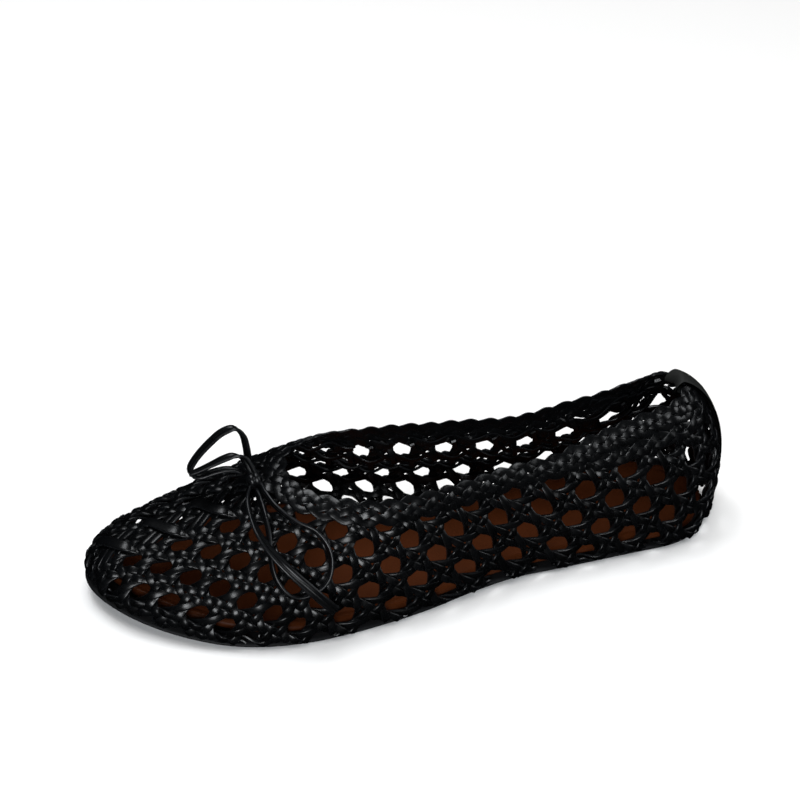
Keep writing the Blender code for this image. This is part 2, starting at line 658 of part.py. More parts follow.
def add_outsole(look, collection):
    """Thin leather outsole, flat under heel and forefoot, with a slight arch and the toe spring."""
    x = sole_stations(0, LENGTH)
    outer, inner = sole_outline(x, 0)
    top = feather_height(x) - SOLE_GAP
    low = feather_height(x) - FEATHER_HEIGHT

    def ring(i):
        corners = [(outer[i], top[i]), (outer[i], low[i]), (inner[i], low[i]), (inner[i], top[i])]
        return np.array([(x[i], y, z) for y, z in corners])

    return add_ladder("outsole", x, ring, look, collection)


def add_insole(look, collection):
    """Wrapped leather footbed with a rounded edge."""
    x = sole_stations(INSOLE_INSET, LENGTH - INSOLE_TOE_INSET)
    on_last = LENGTH * (x - x[0]) / (x[-1] - x[0])
    near_toe = np.clip((x - THROAT) / (LENGTH - THROAT), 0, 1)
    outer, inner = sole_outline(on_last, INSOLE_INSET + (INSOLE_TOE_INSET - INSOLE_INSET) * near_toe)
    middle = (outer + inner) / 2
    base = feather_height(x)

    def ring(i):
        half = (outer[i] - inner[i]) / 2
        narrow = min(1, half / INSOLE_FULL_HALF)
        edge = [(half - inset * MM * narrow, height * MM * narrow**0.5) for inset, height in INSOLE_PROFILE]
        left = [(middle[i] + y, z) for y, z in edge]
        right = [(middle[i] - y, z) for y, z in reversed(edge)]
        ring_points = [*left, (middle[i], INSOLE_DISH * MM * narrow**0.5), *right]
        return np.array([(x[i], y, base[i] + z) for y, z in ring_points])

    return add_ladder("insole", x, ring, look, collection)


def add_back_strip(sheet, look, collection):
    """Smooth strip down the back seam, folded over the collar."""
    wall = sheet.tables[1]["wall"][0]
    out_near = BORDER_CROWN + STRIP_OUTSIDE_GAP
    out_far = out_near + STRIP_THICKNESS
    in_near = WALL_INSIDE - STRIP_INSIDE_GAP
    in_far = in_near - STRIP_THICKNESS
    over = TOUCH_GAP + STRIP_THICKNESS
    low = wall - 1.5 * MM
    outside = [low * share for share in (1, 0.85, 0.7, 0.55, 0.42, 0.3, 0.2, 0.11, 0.04)]
    within = [STRIP_INSIDE_LENGTH * share for share in (0.08, 0.2, 0.38, 0.6, 0.8, 1)]
    loop = [(down, out_far) for down in outside]
    loop += [(-0.6 * over, out_far - 0.2 * MM), (-over, out_near)]
    loop += [(-over, in_near), (-0.6 * over, in_far + 0.2 * MM)]
    loop += [(down, in_far) for down in within]
    loop += [(down, in_near) for down in within[::-1]]
    loop += [(-TOUCH_GAP, in_near), (-TOUCH_GAP, out_near)]
    loop += [(down, out_near) for down in outside[::-1]]
    near_seam = np.arange(60)
    columns = []
    for aside in np.linspace(-STRIP_WIDTH / 2, STRIP_WIDTH / 2, 7):
        side = 1 if aside >= 0 else -1
        column = []
        for down, height in loop:
            raised = np.full(len(near_seam), height)
            wall_line = sheet.place(sheet.weave_at(side, near_seam, max(down, 0) + 0 * raised), raised)
            if down < 0:
                lower = sheet.place(sheet.weave_at(side, near_seam, 2 * MM + 0 * raised), raised)
                way = wall_line - lower
                wall_line = wall_line - way / np.linalg.norm(way, axis=1, keepdims=True) * down
            place = [np.interp(abs(aside), side * wall_line[:, 1], wall_line[:, k]) for k in (0, 2)]
            column.append((place[0], aside, place[1]))
        columns.append(column)
    count = len(loop)
    points = [p for column in columns for p in column]
    last = len(points)
    faces = [tuple(range(count)), tuple(range(last - count, last))]
    for i in range(len(columns) - 1):
        for k in range(count):
            after = (k + 1) % count
            a = i * count
            b = a + count
            faces.append((a + k, b + k, b + after, a + after))
    return add_mesh("back_strip", points, faces, look, collection)


def add_vamp_lace(sheet, look, collection):
    """Floats of the flat lace that is whipped across the vamp's middle line."""
    low = STRIP_CROWN + TOUCH_GAP
    high = low + LACE_THICKNESS
    for number, centre in enumerate(FLOAT_STEPS, 1):
        along = np.linspace(-1, 1, 9)
        route = np.stack([centre + FLOAT_HALF[0] * along, RIDGE_ROW + FLOAT_HALF[1] * along], -1)
        edges = [beside(route, aside) for aside in (LACE_WIDTH / 2, -LACE_WIDTH / 2)]
        sides = [
            sheet.place(edges[0], np.full(len(along), low)),
            sheet.place(edges[0], np.full(len(along), high)),
            sheet.place(edges[1], np.full(len(along), high)),
            sheet.place(edges[1], np.full(len(along), low)),
        ]
        points = np.stack(sides, 1).reshape(-1, 3)
        last = len(points)
        faces = [(0, 1, 2, 3), (last - 4, last - 3, last - 2, last - 1)]
        for i in range(0, last - 4, 4):
            for k in range(4):
                after = (k + 1) % 4
                faces.append((i + k, i + 4 + k, i + 4 + after, i + after))
        add_mesh(f"vamp_lace_{number}", points, faces, look, collection)


def smooth_route(route):
    """Points a small gap apart on a smooth curve through a route's points."""
    knots = np.array(route, float) * MM
    padded = np.concatenate([2 * knots[:1] - knots[1:2], knots, 2 * knots[-1:] - knots[-2:-1]])
    dense = []
    for a, b, c, d in zip(padded, padded[1:], padded[2:], padded[3:]):
        t = np.linspace(0, 1, 24, endpoint=False)[:, None]
        cubic = 2 * a - 5 * b + 4 * c - d
        dense.append(b + 0.5 * ((c - a) * t + cubic * t**2 + (3 * b - a - 3 * c + d) * t**3))
    dense = np.concatenate([*dense, knots[-1:]])
    along = np.zeros(len(dense))
    along[1:] = np.cumsum(np.linalg.norm(np.diff(dense, axis=0), axis=1))
    at = np.linspace(0, along[-1], round(along[-1] / ROUTE_POINT_GAP) + 1)
    return np.stack([np.interp(at, along, dense[:, k]) for k in range(3)], -1)


def add_bow(look, collection):
    """The bow's knot, and its loops and ends as plain tubes."""
    for name, route in BOW_ROUTES.items():
        line = centred(smooth_route(route))
        curve = bpy.data.curves.new(name, "CURVE")
        curve.dimensions = "3D"
        curve.bevel_depth = LACE_TUBE
        curve.bevel_resolution = 2
        curve.use_fill_caps = True
        spline = curve.splines.new("POLY")
        spline.points.add(len(line) - 1)
        for point, place in zip(spline.points, line):
            point.co = (*place, 1)
        curve.materials.append(look)
        collection.objects.link(bpy.data.objects.new(name, curve))
    form = bmesh.new()
    bmesh.ops.create_uvsphere(form, u_segments=12, v_segments=8, radius=1)
    bmesh.ops.scale(form, vec=Vector(KNOT_HALF) * MM, verts=form.verts)
    mesh = bpy.data.meshes.new("bow_knot")
    form.to_mesh(mesh)
    form.free()
    mesh.materials.append(look)
    mesh.shade_smooth()
    knot = bpy.data.objects.new("bow_knot", mesh)
    knot.location = centred(np.array(KNOT_AT) * MM)
    collection.objects.link(knot)


def main():
    clear_scene()
    collection = bpy.data.collections.new("woven_shoe")
    bpy.context.scene.collection.children.link(collection)
    sheet = Sheet()
    woven = material("woven_leather", BLACK_LEATHER, 0.38)
    lace = material("lace_leather", BLACK_LEATHER, 0.45)
    _, holes = add_upper(sheet, woven, collection)
    print("holes cut in the upper:", holes)
    add_outsole(material("sole_leather", SOLE_BLACK, 0.6), collection)
    add_insole(material("insole_leather", COGNAC, 0.5), collection)
    add_back_strip(sheet, material("strip_leather", MATTE_BLACK, 0.62), collection)
    add_vamp_lace(sheet, lace, collection)
    add_bow(lace, collection)


main()
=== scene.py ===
"""Looks of the woven ballet flat: woven strips, plaits, lace bow, leathers, light and camera."""

import bpy
import numpy as np
from mathutils import Matrix


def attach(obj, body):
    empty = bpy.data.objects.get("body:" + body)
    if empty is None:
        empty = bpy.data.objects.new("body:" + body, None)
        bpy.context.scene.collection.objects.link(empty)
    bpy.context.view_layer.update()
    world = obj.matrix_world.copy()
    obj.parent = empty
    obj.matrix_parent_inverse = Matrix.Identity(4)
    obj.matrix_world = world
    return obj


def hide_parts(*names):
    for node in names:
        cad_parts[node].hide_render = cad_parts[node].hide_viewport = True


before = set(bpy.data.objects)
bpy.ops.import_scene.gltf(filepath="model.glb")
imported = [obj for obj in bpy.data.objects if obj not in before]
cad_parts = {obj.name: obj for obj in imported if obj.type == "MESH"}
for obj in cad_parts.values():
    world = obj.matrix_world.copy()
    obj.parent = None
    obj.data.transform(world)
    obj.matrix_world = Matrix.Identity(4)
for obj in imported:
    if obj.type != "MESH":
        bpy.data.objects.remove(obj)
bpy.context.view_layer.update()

MM = 0.001
BODY = "root"

# Driving sizes of the last, as in the part's source, with x from the back of the heel
LENGTH = 250 * MM
HEEL_AXIS = 30 * MM  # upright axis that the heel's sections fan round
HEEL_FAN = 45 * MM  # length of one side's stations that fan round the heel
THROAT = 177 * MM  # front of the opening
COLLAR_WIDEST = 140 * MM  # where the opening is widest
FEATHER_HEIGHT = 3.0 * MM  # line where upper and sole meet
TOE_SPRING = 6.8 * MM
TOE_SPRING_START = 180 * MM
ARCH_RISE = 1.2 * MM
ARCH_FROM = 72 * MM
ARCH_TO = 136 * MM
TOE_SWING = 10 * MM  # how far the toe's tip lies to the inner side
HEEL_BULGE = 2.2 * MM
TOE_CAP_START = 175 * MM
TOE_CAP_POWER = 2.5
TOE_DROP_START = 225 * MM
TOE_DROP_POWER = 2.4
SIDE_POWER = 2.3  # superellipse of a section, sideways and upwards
CROWN_POWER = 2.1
SHOE_MIDDLE = (123.45 * MM, -0.33 * MM)  # middle of the shoe's box, which is the origin

# One row for each station along the shoe; those behind HEEL_AXIS fan round the heel.
# lateral, medial: half widths of the sole line; instep: height of the ridge, carried on above the opening;
# collar: height of the opening's edge (all mm). top_row: row of the weave at the collar;
# row_gap: mm between rows; lean: steps by which the weave leans over the height of the wall.
LAST_COLUMNS = ("station", "lateral", "medial", "instep", "collar", "top_row", "row_gap", "lean")
LAST_ROWS = (
    (-15, 30.0, 30.0, 64.8, 62.1, 2.9, 10.4, -2.1),
    (8, 28.4, 28.2, 62.5, 59.9, 2.8, 10.3, -2.1),
    (30, 26.9, 26.5, 60.2, 57.7, 2.5, 10.1, -2.1),
    (55, 27.2, 25.3, 56.4, 53.1, 2.0, 9.8, -2.1),
    (85, 28.0, 23.0, 53.4, 47.2, 1.8, 8.9, -1.9),
    (110, 31.7, 23.9, 57.5, 47.5, 1.9, 8.8, -1.5),
    (132, 36.0, 26.5, 61.7, 48.9, 2.1, 8.7, -1.0),
    (150, 39.1, 30.8, 58.7, 48.9, 2.05, 8.6, -0.5),
    (165, 41.0, 34.8, 52.9, 48.9, 2.0, 8.6, 0),
    (177, 41.9, 36.8, 48.6, 48.6, 2.0, 8.3, 0),
    (200, 41.5, 38.6, 37.0, 37.0, 2.0, 7.65, 0),
    (225, 38.7, 37.4, 24.8, 24.8, 2.0, 6.75, 0),
    (250, 34.6, 33.5, 17.4, 17.4, 2.0, 6.1, 0),
)

# The inner side has its own weave, and its wall swells out over the narrow waist of the sole.
# swell: mm at the widest place; neck: share by which the wall's top stands upright;
# shift: steps along the shoe.
INNER_COLUMNS = ("station", "swell", "neck", "top_row", "row_gap", "lean", "shift")
INNER_ROWS = (
    (-15, 0, 0, 2.9, 10.4, -2.1, 0),
    (8, 0, 0, 2.75, 10.3, -2.1, 0.3),
    (30, 0, 0.6, 2.0, 9.7, -2.1, 0.9),
    (55, 0.5, 1.0, 1.2, 8.7, -2.0, 1.35),
    (85, 2.5, 1.0, 1.45, 8.3, -1.3, 1.05),
    (110, 4.0, 1.0, 1.55, 8.1, -1.2, 0.65),
    (132, 5.5, 1.0, 1.65, 8.1, -1.4, 0.2),
    (150, 6.5, 0.5, 1.65, 8.1, -1.2, -0.25),
    (165, 4.5, 0, 1.6, 8.1, -0.6, -0.4),
    (177, 2.5, 0, 1.8, 8.2, 0, -0.1),
    (200, 0, 0, 2.0, 7.65, 0, 0),
    (225, 0, 0, 2.0, 6.75, 0, 0),
    (250, 0, 0, 2.0, 6.1, 0, 0),
)
# Shares of the wall's height where the swell is full, where it goes again and where the top turns upright
SWELL_FULL = 0.2
SWELL_TOP = (0.45, 0.9)
NECK_FROM = (0.30, 0.75)

# The weave: holes lie where step + row is odd, crossings of the paired strips where it is even
RIDGE_ROW = -0.5
STEP_PITCH = 9.3 * MM
ROW_PITCH = 8.6 * MM
STEP_ZERO = 165.8 * MM
RIDGE_ROWS_PER_M = 112
ROW_SOFTNESS = 0.25
GRID_STEPS = np.arange(-13.0, 22.0, 0.08)
GRID_ROWS = np.arange(0.0, 9.6, 0.08)

STRIP_WIDTH = 2.75 * MM
STRIP_THICKNESS = 1.0 * MM
PAIR_OFFSET = 1.34 * MM  # from the middle of a pair to the middle of each of its strips
WEAVE_DEPTH = -0.75 * MM  # middle of the woven layer, below the last's surface
PAIR_RISE = 0.7 * MM  # rise and fall of the paired strips where they cross
SINGLE_RISE = 1.3 * MM  # that of the single strips over and under the pairs
SINGLE_SINK = 0.75  # share of its rise that a single strip lies below the pairs
PAIR_CREST = 1.8  # a pair's highest place, from its knot, as a multiple of where it crosses
PAIR_DIP = 0.8  # share of its rise that a pair is pressed down between knots
SINGLE_BOW = 0.05  # rows or steps by which single strips bow away from the holes
WEAVE_POINT_GAP = 0.085  # steps or rows between the points of a strip
UNDER_BORDER = 3.0 * MM  # how far strips run on under a border
BORDER_DIVE = 1.1 * MM  # how deep they dive there
TURN_RADIUS = 2.6 * MM  # of the sheet where it turns under the shoe
TURN_REACH = 3.2 * MM  # how far the strips run on below the sole line
BUNDLE_LINES = (-3, -5, -7, -9, -11)  # diagonals, step + row, of the strips bundled on the ridge
BUNDLE_HALF = 1.15  # rows from the ridge to the end of a bundle
BUNDLE_WAVE = (0.6, 2.2)  # height of its middle and drop to its ends, as shares of PAIR_RISE
# A strip's width where it lies level, its growth on top and its least, as shares of the full one
STRIP_FULLNESS = (0.86, 0.22, 0.66)
STRIP_SWELL = 0.12  # the growth of its thickness
HEIGHT_SPREAD = 0.05 * MM  # differences between strips, in height and share of the width
WIDTH_SPREAD = 0.03
PAIR_OFFSET_LIMITS = (0.05, 0.2)  # in steps and rows
# Ends and numbers of the strips' lines, before they are cut to the shoe
STEP_RANGE = (-12.5, 21.4)
ROW_RANGE = (-10.5, 9.6)
PAIR_NUMBERS = range(-10, 17)
ROW_NUMBERS = range(-10, 10)
STEP_NUMBERS = range(-12, 21)
LEAST_RUN = 5  # points; shorter stretches of a strip are left out

COLLAR_WIDTH = 10 * MM
PLAIT_STRAND = 3.2 * MM
PLAIT_THICKNESS = 0.85 * MM
PLAIT_RISE = 0.42 * MM  # rise and fall of the strands over and under each other
PLAIT_CROWN = 0.1 * MM  # height of the plait's middle
PLAIT_SINK = 0.4 * MM  # how much lower its edges lie
PLAIT_TUCK = 0.9  # strand widths by which a strand's middle swings less than the plait
PLAIT_TURN = 0.985  # 1 turns a strand sharply at the edges, less turns it roundly
# A strand's width and thickness where it lies level, and their growth on top
PLAIT_WIDE = (0.96, 0.08)
PLAIT_THICK = (1.1, 0.15)
# Strands of each plait, and the length in which a strand goes across it and back
COLLAR_PLAIT = (4, 31 * MM)
HEEL_PLAIT = (3, 25 * MM)
# The heel's second plait below the collar's one: its upper edge at the heel and its width
HEEL_PLAIT_DEPTH = 9.0 * MM
HEEL_PLAIT_WIDTH = 8.5 * MM
HEEL_PLAIT_START = 0.15  # share of that depth where it comes out
HEEL_PLAIT_LIFT = -1.0 * MM  # its height there
# Distances from the back seam where it comes out and where it is full, outer and inner side
HEEL_PLAIT_FROM = {1: (68 * MM, 44 * MM), -1: (44 * MM, 24 * MM)}
SEAM_PLAIT_DEPTH = 3.5 * MM  # plaits beside the back seam
SEAM_PLAIT_WIDTH = 8.5 * MM

LACE_WIDTH = 3.8 * MM
LACE_THICKNESS = 1.3 * MM
ROUTE_POINT_GAP = 1.0 * MM
PLAIT_POINT_GAP = 0.55 * MM
FLOAT_STEPS = (-8.5, -6.5, -4.5, -2.5)  # where the lace crosses the ridge, last under the knot
FLOAT_HALF = (0.68, 0.80)  # half a float in steps and rows
FLOAT_WIDTH = 4.1 * MM
FLOAT_THICKNESS = 1.0 * MM
FLOAT_RISE = 1.5 * MM  # height of its middle above the last's surface
FLOAT_TUCK = 1.9 * MM  # how much lower its ends are
FLOAT_REACH = 1.15  # how far it runs under the strips, in halves
FLOAT_BEND = 0.14  # rows by which it bends to an S
KNOT_AT = (188.6, -0.8, 47.4)
KNOT_SHIFT = np.array([0.2, 1.6, 1.6]) * MM  # its wraps stand out over the lace's start
# Two directions that each wrap turns through, and half its width and height in mm
KNOT_WRAPS = (
    ((0.05, 1.0, 0.0), (0.25, 0.0, 1.0), 2.7, 2.3),
    ((0.8, 0.55, 0.1), (-0.1, 0.1, 1.0), 2.3, 2.0),
)

# Each lace of the bow: way that its width faces at the start and the end, finish of its far end, and route,
# as in the part's source, in mm from the back of the heel and the middle line
BOW = {
    "bow_loop_left": ((-0.45, 0.88, 0.12), (-0.10, 0.97, 0.15), "object", (
        (188.6, -4.6, 48.9), (189.2, -6.3, 52.6), (189.6, -7.4, 57.6), (190.6, -8.8, 62.4),
        (193.3, -10.2, 64.9), (197.4, -11.4, 63.2), (201.4, -12.0, 59.5), (205.8, -12.5, 54.3),
        (208.8, -12.6, 49.6), (209.4, -12.3, 47.0), (208.2, -11.8, 45.1), (205.6, -11.2, 44.9),
        (201.8, -10.4, 46.4), (197.4, -9.2, 47.8), (193.6, -7.2, 48.2), (191.4, -5.0, 47.8),
    )),
    "lace_tail_left": ((-0.80, 0.58, 0.10), (-0.08, 0.92, 0.36), "bare", (
        (189.0, 0.2, 50.4), (190.2, -1.3, 53.8), (192.0, -2.9, 56.6), (195.0, -4.3, 57.2),
        (198.2, -5.3, 56.0), (202.2, -6.4, 53.6), (205.6, -7.2, 51.6), (208.6, -7.9, 50.0),
        (210.2, -8.4, 49.2),
    )),
    "bow_loop_right": ((-0.10, 0.75, 0.65), (-0.10, 0.75, 0.65), "object", (
        (187.4, 3.4, 47.9), (186.8, 8.0, 47.6), (184.6, 15.0, 46.2), (179.7, 22.3, 44.2),
        (174.1, 27.2, 42.6), (170.9, 31.8, 38.8), (170.2, 35.0, 34.2), (171.6, 37.6, 29.2),
        (174.8, 39.0, 25.8), (179.2, 39.3, 23.9), (183.3, 38.9, 23.1), (187.2, 37.3, 24.9),
        (189.9, 34.1, 28.8), (190.7, 30.6, 32.6), (190.3, 26.9, 36.0), (189.3, 21.0, 40.6),
        (189.0, 13.4, 44.0), (188.9, 7.0, 45.4), (189.0, 4.0, 45.6),
    )),
    "lace_tail_right": ((0.25, 0.70, 0.60), (0.86, 0.20, -0.45), "bare", (
        (191.4, 3.2, 46.0), (193.4, 9.0, 45.2), (193.6, 17.0, 42.6), (192.3, 24.4, 40.2),
        (189.6, 30.2, 37.2), (185.2, 35.6, 33.0), (179.6, 40.0, 27.6), (174.8, 42.2, 22.4),
        (170.6, 43.0, 17.6),
    )),
}

# Camera of the photograph, in the row frame
CAMERA_EYE = (208.6 * MM, 506.7 * MM, 461.7 * MM)
CAMERA_LOOK_AT = (-13.8 * MM, -62.5 * MM, 25.0 * MM)
CAMERA_ROLL = 3.44  # degrees
CAMERA_LENS = 83.17  # mm, as is the sensor's width
CAMERA_SENSOR = 36

BLACK_LEATHER = (0.0014, 0.0016, 0.0019)
EDGE_GREY = (0.014, 0.0155, 0.018)
MATTE_BLACK = (0.012, 0.0125, 0.012)
SOLE_BLACK = (0.006, 0.006, 0.0065)
COGNAC = (0.064, 0.0165, 0.0050)
DARK_COGNAC = (0.035, 0.0088, 0.0022)
TONE_RANGE = (0.62, 1.35)  # darkest and lightest strip, as shares of its colour
EDGE_WEAR = 0.55
GLOSS_SPREAD = 0.09
SHARP_ANGLE = np.radians(62)
# The leather's noise, per metre: fibres along and across a strip, grain and patches
FIBRE_SCALE = (120, 1400, 1)
GRAIN_SCALE = 1900
PATCH_SCALE = 160
INSOLE_NOISE = (55, 2600, 420)  # clouds, grain and creases
INSOLE_ROUGHNESS = (0.52, 0.30)  # on the flat and on the rolled edge
INSOLE_SHINE = 0.06
INSOLE_RELIEF = 0.05 * MM

# Soft lights: place, aim and size in metres, and watts
COOL_WHITE = (0.94, 0.97, 1.0)
LIGHTS = {
    "overhead": ((0.22, -0.25, 0.90), (0.02, 0, 0.03), (0.42, 0.34), 3.2),
    "front": ((0.52, 0.85, 0.45), (0, 0, 0.03), (0.45, 0.50), 7.4),
    "heel": ((-0.75, 0.30, 0.60), (-0.06, 0, 0.03), (0.30, 0.50), 2.2),
}
# A wide even light for the floor that the leather doesn't mirror: place, aim, strength and colour
FILL_LIGHT = ((-0.1, -0.6, 1.5), (0, -0.3, 0), 2.2, (1.0, 0.985, 0.965))
FILL_ANGLE = np.radians(70)
PALE_WHITE = (0.96, 0.96, 0.96, 1)  # floor and sky
SKY_STRENGTH = 0.8
FLOOR_ROUGHNESS = 0.85
FLOOR_REACH = 4.0

rng = np.random.default_rng(7)


def smooth(knots, values, at):
    """Monotone cubic through a table's values."""
    gap = np.diff(knots)
    slope = np.diff(values) / gap
    before = slope[:-1]
    after = slope[1:]
    same = before * after > 0
    near = 2 * gap[1:] + gap[:-1]
    far = gap[1:] + 2 * gap[:-1]
    weight = np.where(same, near * after + far * before, 1)
    tangent = np.zeros(len(knots))
    tangent[1:-1] = np.where(same, (near + far) * before * after / weight, 0)
    tangent[0] = slope[0]
    tangent[-1] = slope[-1]
    at = np.clip(at, knots[0], knots[-1])
    i = np.clip(np.searchsorted(knots, at) - 1, 0, len(gap) - 1)
    t = (at - knots[i]) / gap[i]
    ends = values[i] * (1 + 2 * t) * (1 - t) ** 2 + values[i + 1] * t**2 * (3 - 2 * t)
    return ends + gap[i] * t * (1 - t) * (tangent[i] * (1 - t) - tangent[i + 1] * t)


def last_column(name, station, side=1):
    """A column of the last's table, or of the inner side's own one."""
    own = side < 0 and name in INNER_COLUMNS
    table = np.array(INNER_ROWS if own else LAST_ROWS, float)
    columns = INNER_COLUMNS if own else LAST_COLUMNS
    return smooth(table[:, 0] * MM, table[:, columns.index(name)], station)


def ramp(low, high, at):
    """Straight from 0 at low to 1 at high."""
    return np.clip((at - low) / (high - low), 0, 1)


def curve_at(at, known, points):
    """Points of a curve at places between the known ones."""
    return np.stack([np.interp(at, known, column) for column in points.T], -1)


def gentle(low, high, at):
    """Smooth step from 0 at low to 1 at high."""
    t = ramp(low, high, at)
    return t**2 * (3 - 2 * t)


def feather_height(x):
    """Height of the line where upper and sole meet: a slight arch and the toe spring."""
    spring = ramp(TOE_SPRING_START, LENGTH, x) ** 2
    arch = np.sin(np.pi * ramp(ARCH_FROM, ARCH_TO, x)) ** 2
    return FEATHER_HEIGHT + TOE_SPRING * spring + ARCH_RISE * arch


def centre_line(x):
    """The shoe's middle line swings to the inner side towards the toe."""
    return -TOE_SWING * np.clip(2 * x / LENGTH - 1, 0, 1) ** 2


def half_width(station, side):
    """Half width of the sole line on one side, rounded in at the toe."""
    full = last_column("lateral" if side > 0 else "medial", station) * MM
    reach = ramp(TOE_CAP_START, LENGTH, station)
    return full * np.sqrt(np.clip(1 - reach**TOE_CAP_POWER, 0, 1))


def swollen(out, up, collar, station):
    """Half widths of the inner wall: upright at the collar, swollen below it."""
    at_collar = np.array([np.interp(-c, -u, o) for c, u, o in zip(collar, up, out)])[:, None]
    share = np.clip(up / collar[:, None], 0, 1)
    swell = last_column("swell", station, -1)[:, None] * MM
    neck = last_column("neck", station, -1)[:, None] * gentle(*NECK_FROM, share)
    wall = out + swell * gentle(0, SWELL_FULL, share) * (1 - gentle(*SWELL_TOP, share))
    return np.where(up < collar[:, None], at_collar * neck + wall * (1 - neck), out)


def sections(station, side, count=120):
    """Points of each section from the ridge to the sole line, their arcs, and the arc at the collar."""
    x = np.maximum(station, HEEL_AXIS)
    turn = np.clip((HEEL_AXIS - station) / HEEL_FAN, 0, 1)[:, None] * np.pi / 2
    drop = ramp(TOE_DROP_START, LENGTH, station) ** TOE_DROP_POWER
    rise = (last_column("instep", station) * MM - FEATHER_HEIGHT) * np.sqrt(np.clip(1 - drop, 0, 1))
    collar = np.minimum(last_column("collar", station) * MM - FEATHER_HEIGHT, rise)
    angle = np.linspace(np.pi / 2, 0, count)
    up = rise[:, None] * np.sin(angle) ** (2 / CROWN_POWER)
    out = half_width(station, side)[:, None] * np.abs(np.cos(angle)) ** (2 / SIDE_POWER)
    out = out + HEEL_BULGE * np.sin(np.pi * np.clip(up / collar[:, None], 0, 1)) * np.sin(turn) ** 2
    if side < 0:
        out = swollen(out, up, collar, station)
    along = x[:, None] - np.sin(turn) * out
    across = centre_line(x)[:, None] + side * np.cos(turn) * out
    points = np.stack([along, across, feather_height(x)[:, None] + up], -1)
    arc = lengths_along(points)
    collar_arc = np.array([np.interp(-c, -u, a) for c, u, a in zip(collar, up, arc)])
    return points, arc, np.where(station < THROAT, collar_arc, 0)


class Sheet:
    """The upper as a woven sheet: (step, row) of the weave to points of the last's surface.

    Steps run towards the heel, rows down from the ridge; rows of the inner side mirror about RIDGE_ROW.
    """

    def __init__(self):
        toe_part = 215 * MM
        rear = np.arange(HEEL_AXIS - HEEL_FAN, toe_part, 1 * MM)
        toe = toe_part + (LENGTH - 0.02 * MM - toe_part) * np.sin(np.linspace(0, np.pi / 2, 70))
        self.station = np.concatenate([rear, toe])
        self.tables = {}
        rows = RIDGE_ROW + GRID_ROWS
        outer = self.side_block(1, rows)
        inner = self.side_block(-1, rows)
        self.points = np.concatenate([inner[:, :0:-1], outer], axis=1)
        self.rows = np.concatenate([2 * RIDGE_ROW - rows[:0:-1], rows])
        self.along = np.gradient(self.points, GRID_STEPS, axis=0)
        self.across = np.gradient(self.points, self.rows, axis=1)
        self.normals = unit(np.cross(self.across, self.along), 1e-12)

    def side_block(self, side, rows):
        """Points of one side on the grid of steps and rows."""
        station = self.station
        points, arc, collar_arc = sections(station, side)
        gap = last_column("row_gap", station, side) * MM
        near_throat = np.where(station > COLLAR_WIDEST, collar_arc, LENGTH)
        from_ridge = np.exp(-(RIDGE_ROW + RIDGE_ROWS_PER_M * near_throat) / ROW_SOFTNESS)
        from_table = np.exp(-last_column("top_row", station, side) / ROW_SOFTNESS)
        top = np.maximum(-ROW_SOFTNESS * np.log(from_ridge + from_table), RIDGE_ROW)
        top = np.where(station < THROAT, top, RIDGE_ROW)
        slope = np.gradient(points[:, 0, 2], station)
        stretch = np.where(station >= THROAT, np.sqrt(1 + slope**2), 1)
        length = np.zeros(len(station))
        length[1:] = np.cumsum(np.diff(station) * (stretch[1:] + stretch[:-1]) / 2)
        length -= np.interp(STEP_ZERO, station, length)
        if side < 0:
            length -= last_column("shift", station, side) * STEP_PITCH
        table = {"top": top, "gap": gap, "wall": arc[:, -1] - collar_arc, "length": length}
        table["lean"] = last_column("lean", station, side)
        self.tables[side] = table
        way = unit(np.gradient(points[:, -1, :2], axis=0))
        inwards = side * np.stack([way[:, 1], -way[:, 0]], -1)
        grid = np.empty((len(station), len(rows), 3))
        step = np.empty(grid.shape[:2])
        for i in range(len(station)):
            down = (rows - top[i]) * gap[i]
            grid[i] = curve_at(collar_arc[i] + down, arc[i], points[i])
            below = np.maximum(down - table["wall"][i], 0)
            turn = np.minimum(below / TURN_RADIUS, np.pi / 2)
            tucked = TURN_RADIUS * (1 - np.cos(turn)) + below - TURN_RADIUS * turn
            grid[i, :, :2] += tucked[:, None] * inwards[i]
            grid[i, :, 2] -= TURN_RADIUS * np.sin(turn)
            step[i] = self.step_at(side, i, down)
        block = np.empty((len(GRID_STEPS), len(rows), 3))
        for j in range(len(rows)):
            order = np.argsort(step[:, j])
            block[:, j] = curve_at(GRID_STEPS, step[order, j], grid[order, j])
        return block

    def step_at(self, side, index, down):
        table = self.tables[side]
        share = np.clip(down / np.maximum(table["wall"][index], 1 * MM), -0.5, 1.5)
        return table["lean"][index] * (share - 0.5) - table["length"][index] / STEP_PITCH

    def weave_at(self, side, index, down):
        """(step, row) at stations by index, a distance below the collar or the ridge."""
        table = self.tables[side]
        row = table["top"][index] + down / table["gap"][index]
        signed = row if side > 0 else 2 * RIDGE_ROW - row
        return np.stack([self.step_at(side, index, down), signed], -1)

    def look(self, array, at):
        """Value of a grid at (step, row) pairs."""
        size = GRID_STEPS[1] - GRID_STEPS[0]
        return between(array, (at[..., 0] - GRID_STEPS[0]) / size, (at[..., 1] - self.rows[0]) / size)

    def normal(self, at):
        return unit(self.look(self.normals, at))

    def place(self, at, height=0.0):
        """Points of the sheet at (step, row) pairs, raised along the normal."""
        return self.look(self.points, at) + self.normal(at) * np.asarray(height)[..., None]

    def metric(self, at):
        """Squares and product of the sheet's two directions, per step and per row."""
        along = self.look(self.along, at)
        across = self.look(self.across, at)
        return (along**2).sum(-1), (along * across).sum(-1), (across**2).sum(-1)


